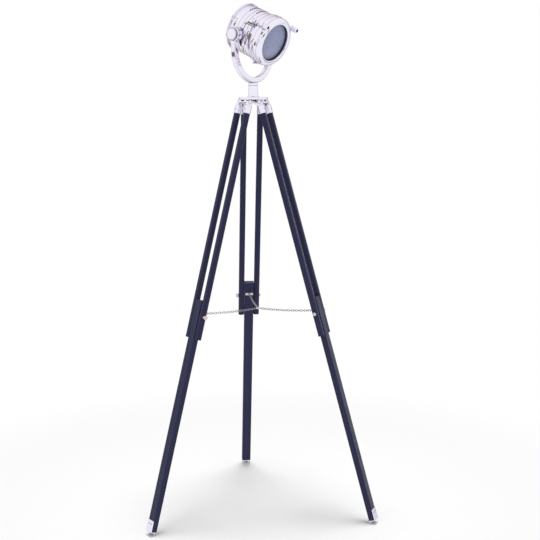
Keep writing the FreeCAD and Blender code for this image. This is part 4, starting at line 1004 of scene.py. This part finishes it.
def makeFloor():
    # a lit floor under the lamp, for its shadow, that runs out into plain white
    material = bpy.data.materials.new("floorWhite")
    material.use_nodes = True
    tree = material.node_tree
    tree.nodes.clear()
    output = tree.nodes.new("ShaderNodeOutputMaterial")
    lit = addNode(tree, "ShaderNodeBsdfDiffuse", Color=(*studio["floorColour"], 1))
    white = addNode(tree, "ShaderNodeEmission", Color=(1, 1, 1, 1), Strength=1.0)
    place = addNode(tree, "ShaderNodeTexCoord")
    distance = addNode(tree, "ShaderNodeVectorMath", {"operation": "LENGTH"})
    spread = addNode(tree, "ShaderNodeMapRange", {"interpolation_type": "SMOOTHSTEP"},
                     From_Min=studio["whiteFrom"], From_Max=studio["whiteTo"])
    path = tree.nodes.new("ShaderNodeLightPath")
    most = addNode(tree, "ShaderNodeMath", {"operation": "MAXIMUM"})
    mix = tree.nodes.new("ShaderNodeMixShader")
    link = tree.links.new
    link(place.outputs["Object"], distance.inputs[0])
    link(distance.outputs["Value"], spread.inputs["Value"])
    link(spread.outputs["Result"], most.inputs[0])
    link(path.outputs["Is Glossy Ray"], most.inputs[1])
    link(most.outputs["Value"], mix.inputs["Fac"])
    link(lit.outputs["BSDF"], mix.inputs[1])
    link(white.outputs["Emission"], mix.inputs[2])
    link(mix.outputs["Shader"], output.inputs["Surface"])
    reach = 30
    newStageObject("floor", [(-reach, -reach, 0), (reach, -reach, 0), (reach, reach, 0), (-reach, reach, 0)],
                   [(0, 1, 2, 3)], material)


def makeCards():
    # dark cards out of the camera's way, seen only in reflections, give polished metal its dark lines
    material = bpy.data.materials.new("darkCard")
    material.use_nodes = True
    tree = material.node_tree
    tree.nodes.clear()
    output = tree.nodes.new("ShaderNodeOutputMaterial")
    tone = addNode(tree, "ShaderNodeEmission", Color=(*studio["cardTone"], 1), Strength=1.0)
    tree.links.new(tone.outputs["Emission"], output.inputs["Surface"])
    reach = studio["cardReach"]
    for index, (azimuth, width, low, high) in enumerate(studio["cards"]):
        points = []
        for turn in (azimuth - width / 2, azimuth, azimuth + width / 2):
            x, y = reach * math.cos(math.radians(turn)), reach * math.sin(math.radians(turn))
            points.extend([(x, y, low), (x, y, high)])
        card = newStageObject("card%d" % index, points, [(0, 2, 3, 1), (2, 4, 5, 3)], material)
        card.visible_camera = False
        card.visible_diffuse = False
        card.visible_shadow = False
        card.visible_transmission = False


def makeWorld():
    world = bpy.data.worlds.new("studioWorld")
    scene.world = world
    world.use_nodes = True
    tree = world.node_tree
    tree.nodes.clear()
    output = tree.nodes.new("ShaderNodeOutputWorld")
    fill = addNode(tree, "ShaderNodeBackground", Color=(1, 1, 1, 1), Strength=studio["worldLight"])
    white = addNode(tree, "ShaderNodeBackground", Color=(1, 1, 1, 1), Strength=1.0)
    path = tree.nodes.new("ShaderNodeLightPath")
    seen = addNode(tree, "ShaderNodeMath", {"operation": "MAXIMUM"})
    through = addNode(tree, "ShaderNodeMath", {"operation": "MAXIMUM"})
    mix = tree.nodes.new("ShaderNodeMixShader")
    link = tree.links.new
    link(path.outputs["Is Camera Ray"], seen.inputs[0])
    link(path.outputs["Is Glossy Ray"], seen.inputs[1])
    link(seen.outputs["Value"], through.inputs[0])
    link(path.outputs["Is Transmission Ray"], through.inputs[1])
    link(through.outputs["Value"], mix.inputs["Fac"])
    link(fill.outputs["Background"], mix.inputs[1])
    link(white.outputs["Background"], mix.inputs[2])
    link(mix.outputs["Shader"], output.inputs["Surface"])


def makeLamp(name, place, target, size, power):
    data = bpy.data.lights.new(name, "AREA")
    data.size = size
    data.energy = power
    lamp = bpy.data.objects.new(name, data)
    scene.collection.objects.link(lamp)
    lamp.location = place
    lamp.rotation_euler = (Vector(target) - Vector(place)).to_track_quat("-Z", "Y").to_euler()
    lamp.visible_glossy = False     # polished metal shows the white room instead


makeFloor()
makeCards()
makeWorld()
makeLamp("overhead", studio["overheadPlace"], (0, 0, 0), studio["overheadSize"], studio["overheadPower"])
makeLamp("front", studio["frontPlace"], (0, 0, 1.0), studio["frontSize"], studio["frontPower"])
scene.view_settings.view_transform = "Standard"
print("studio set")
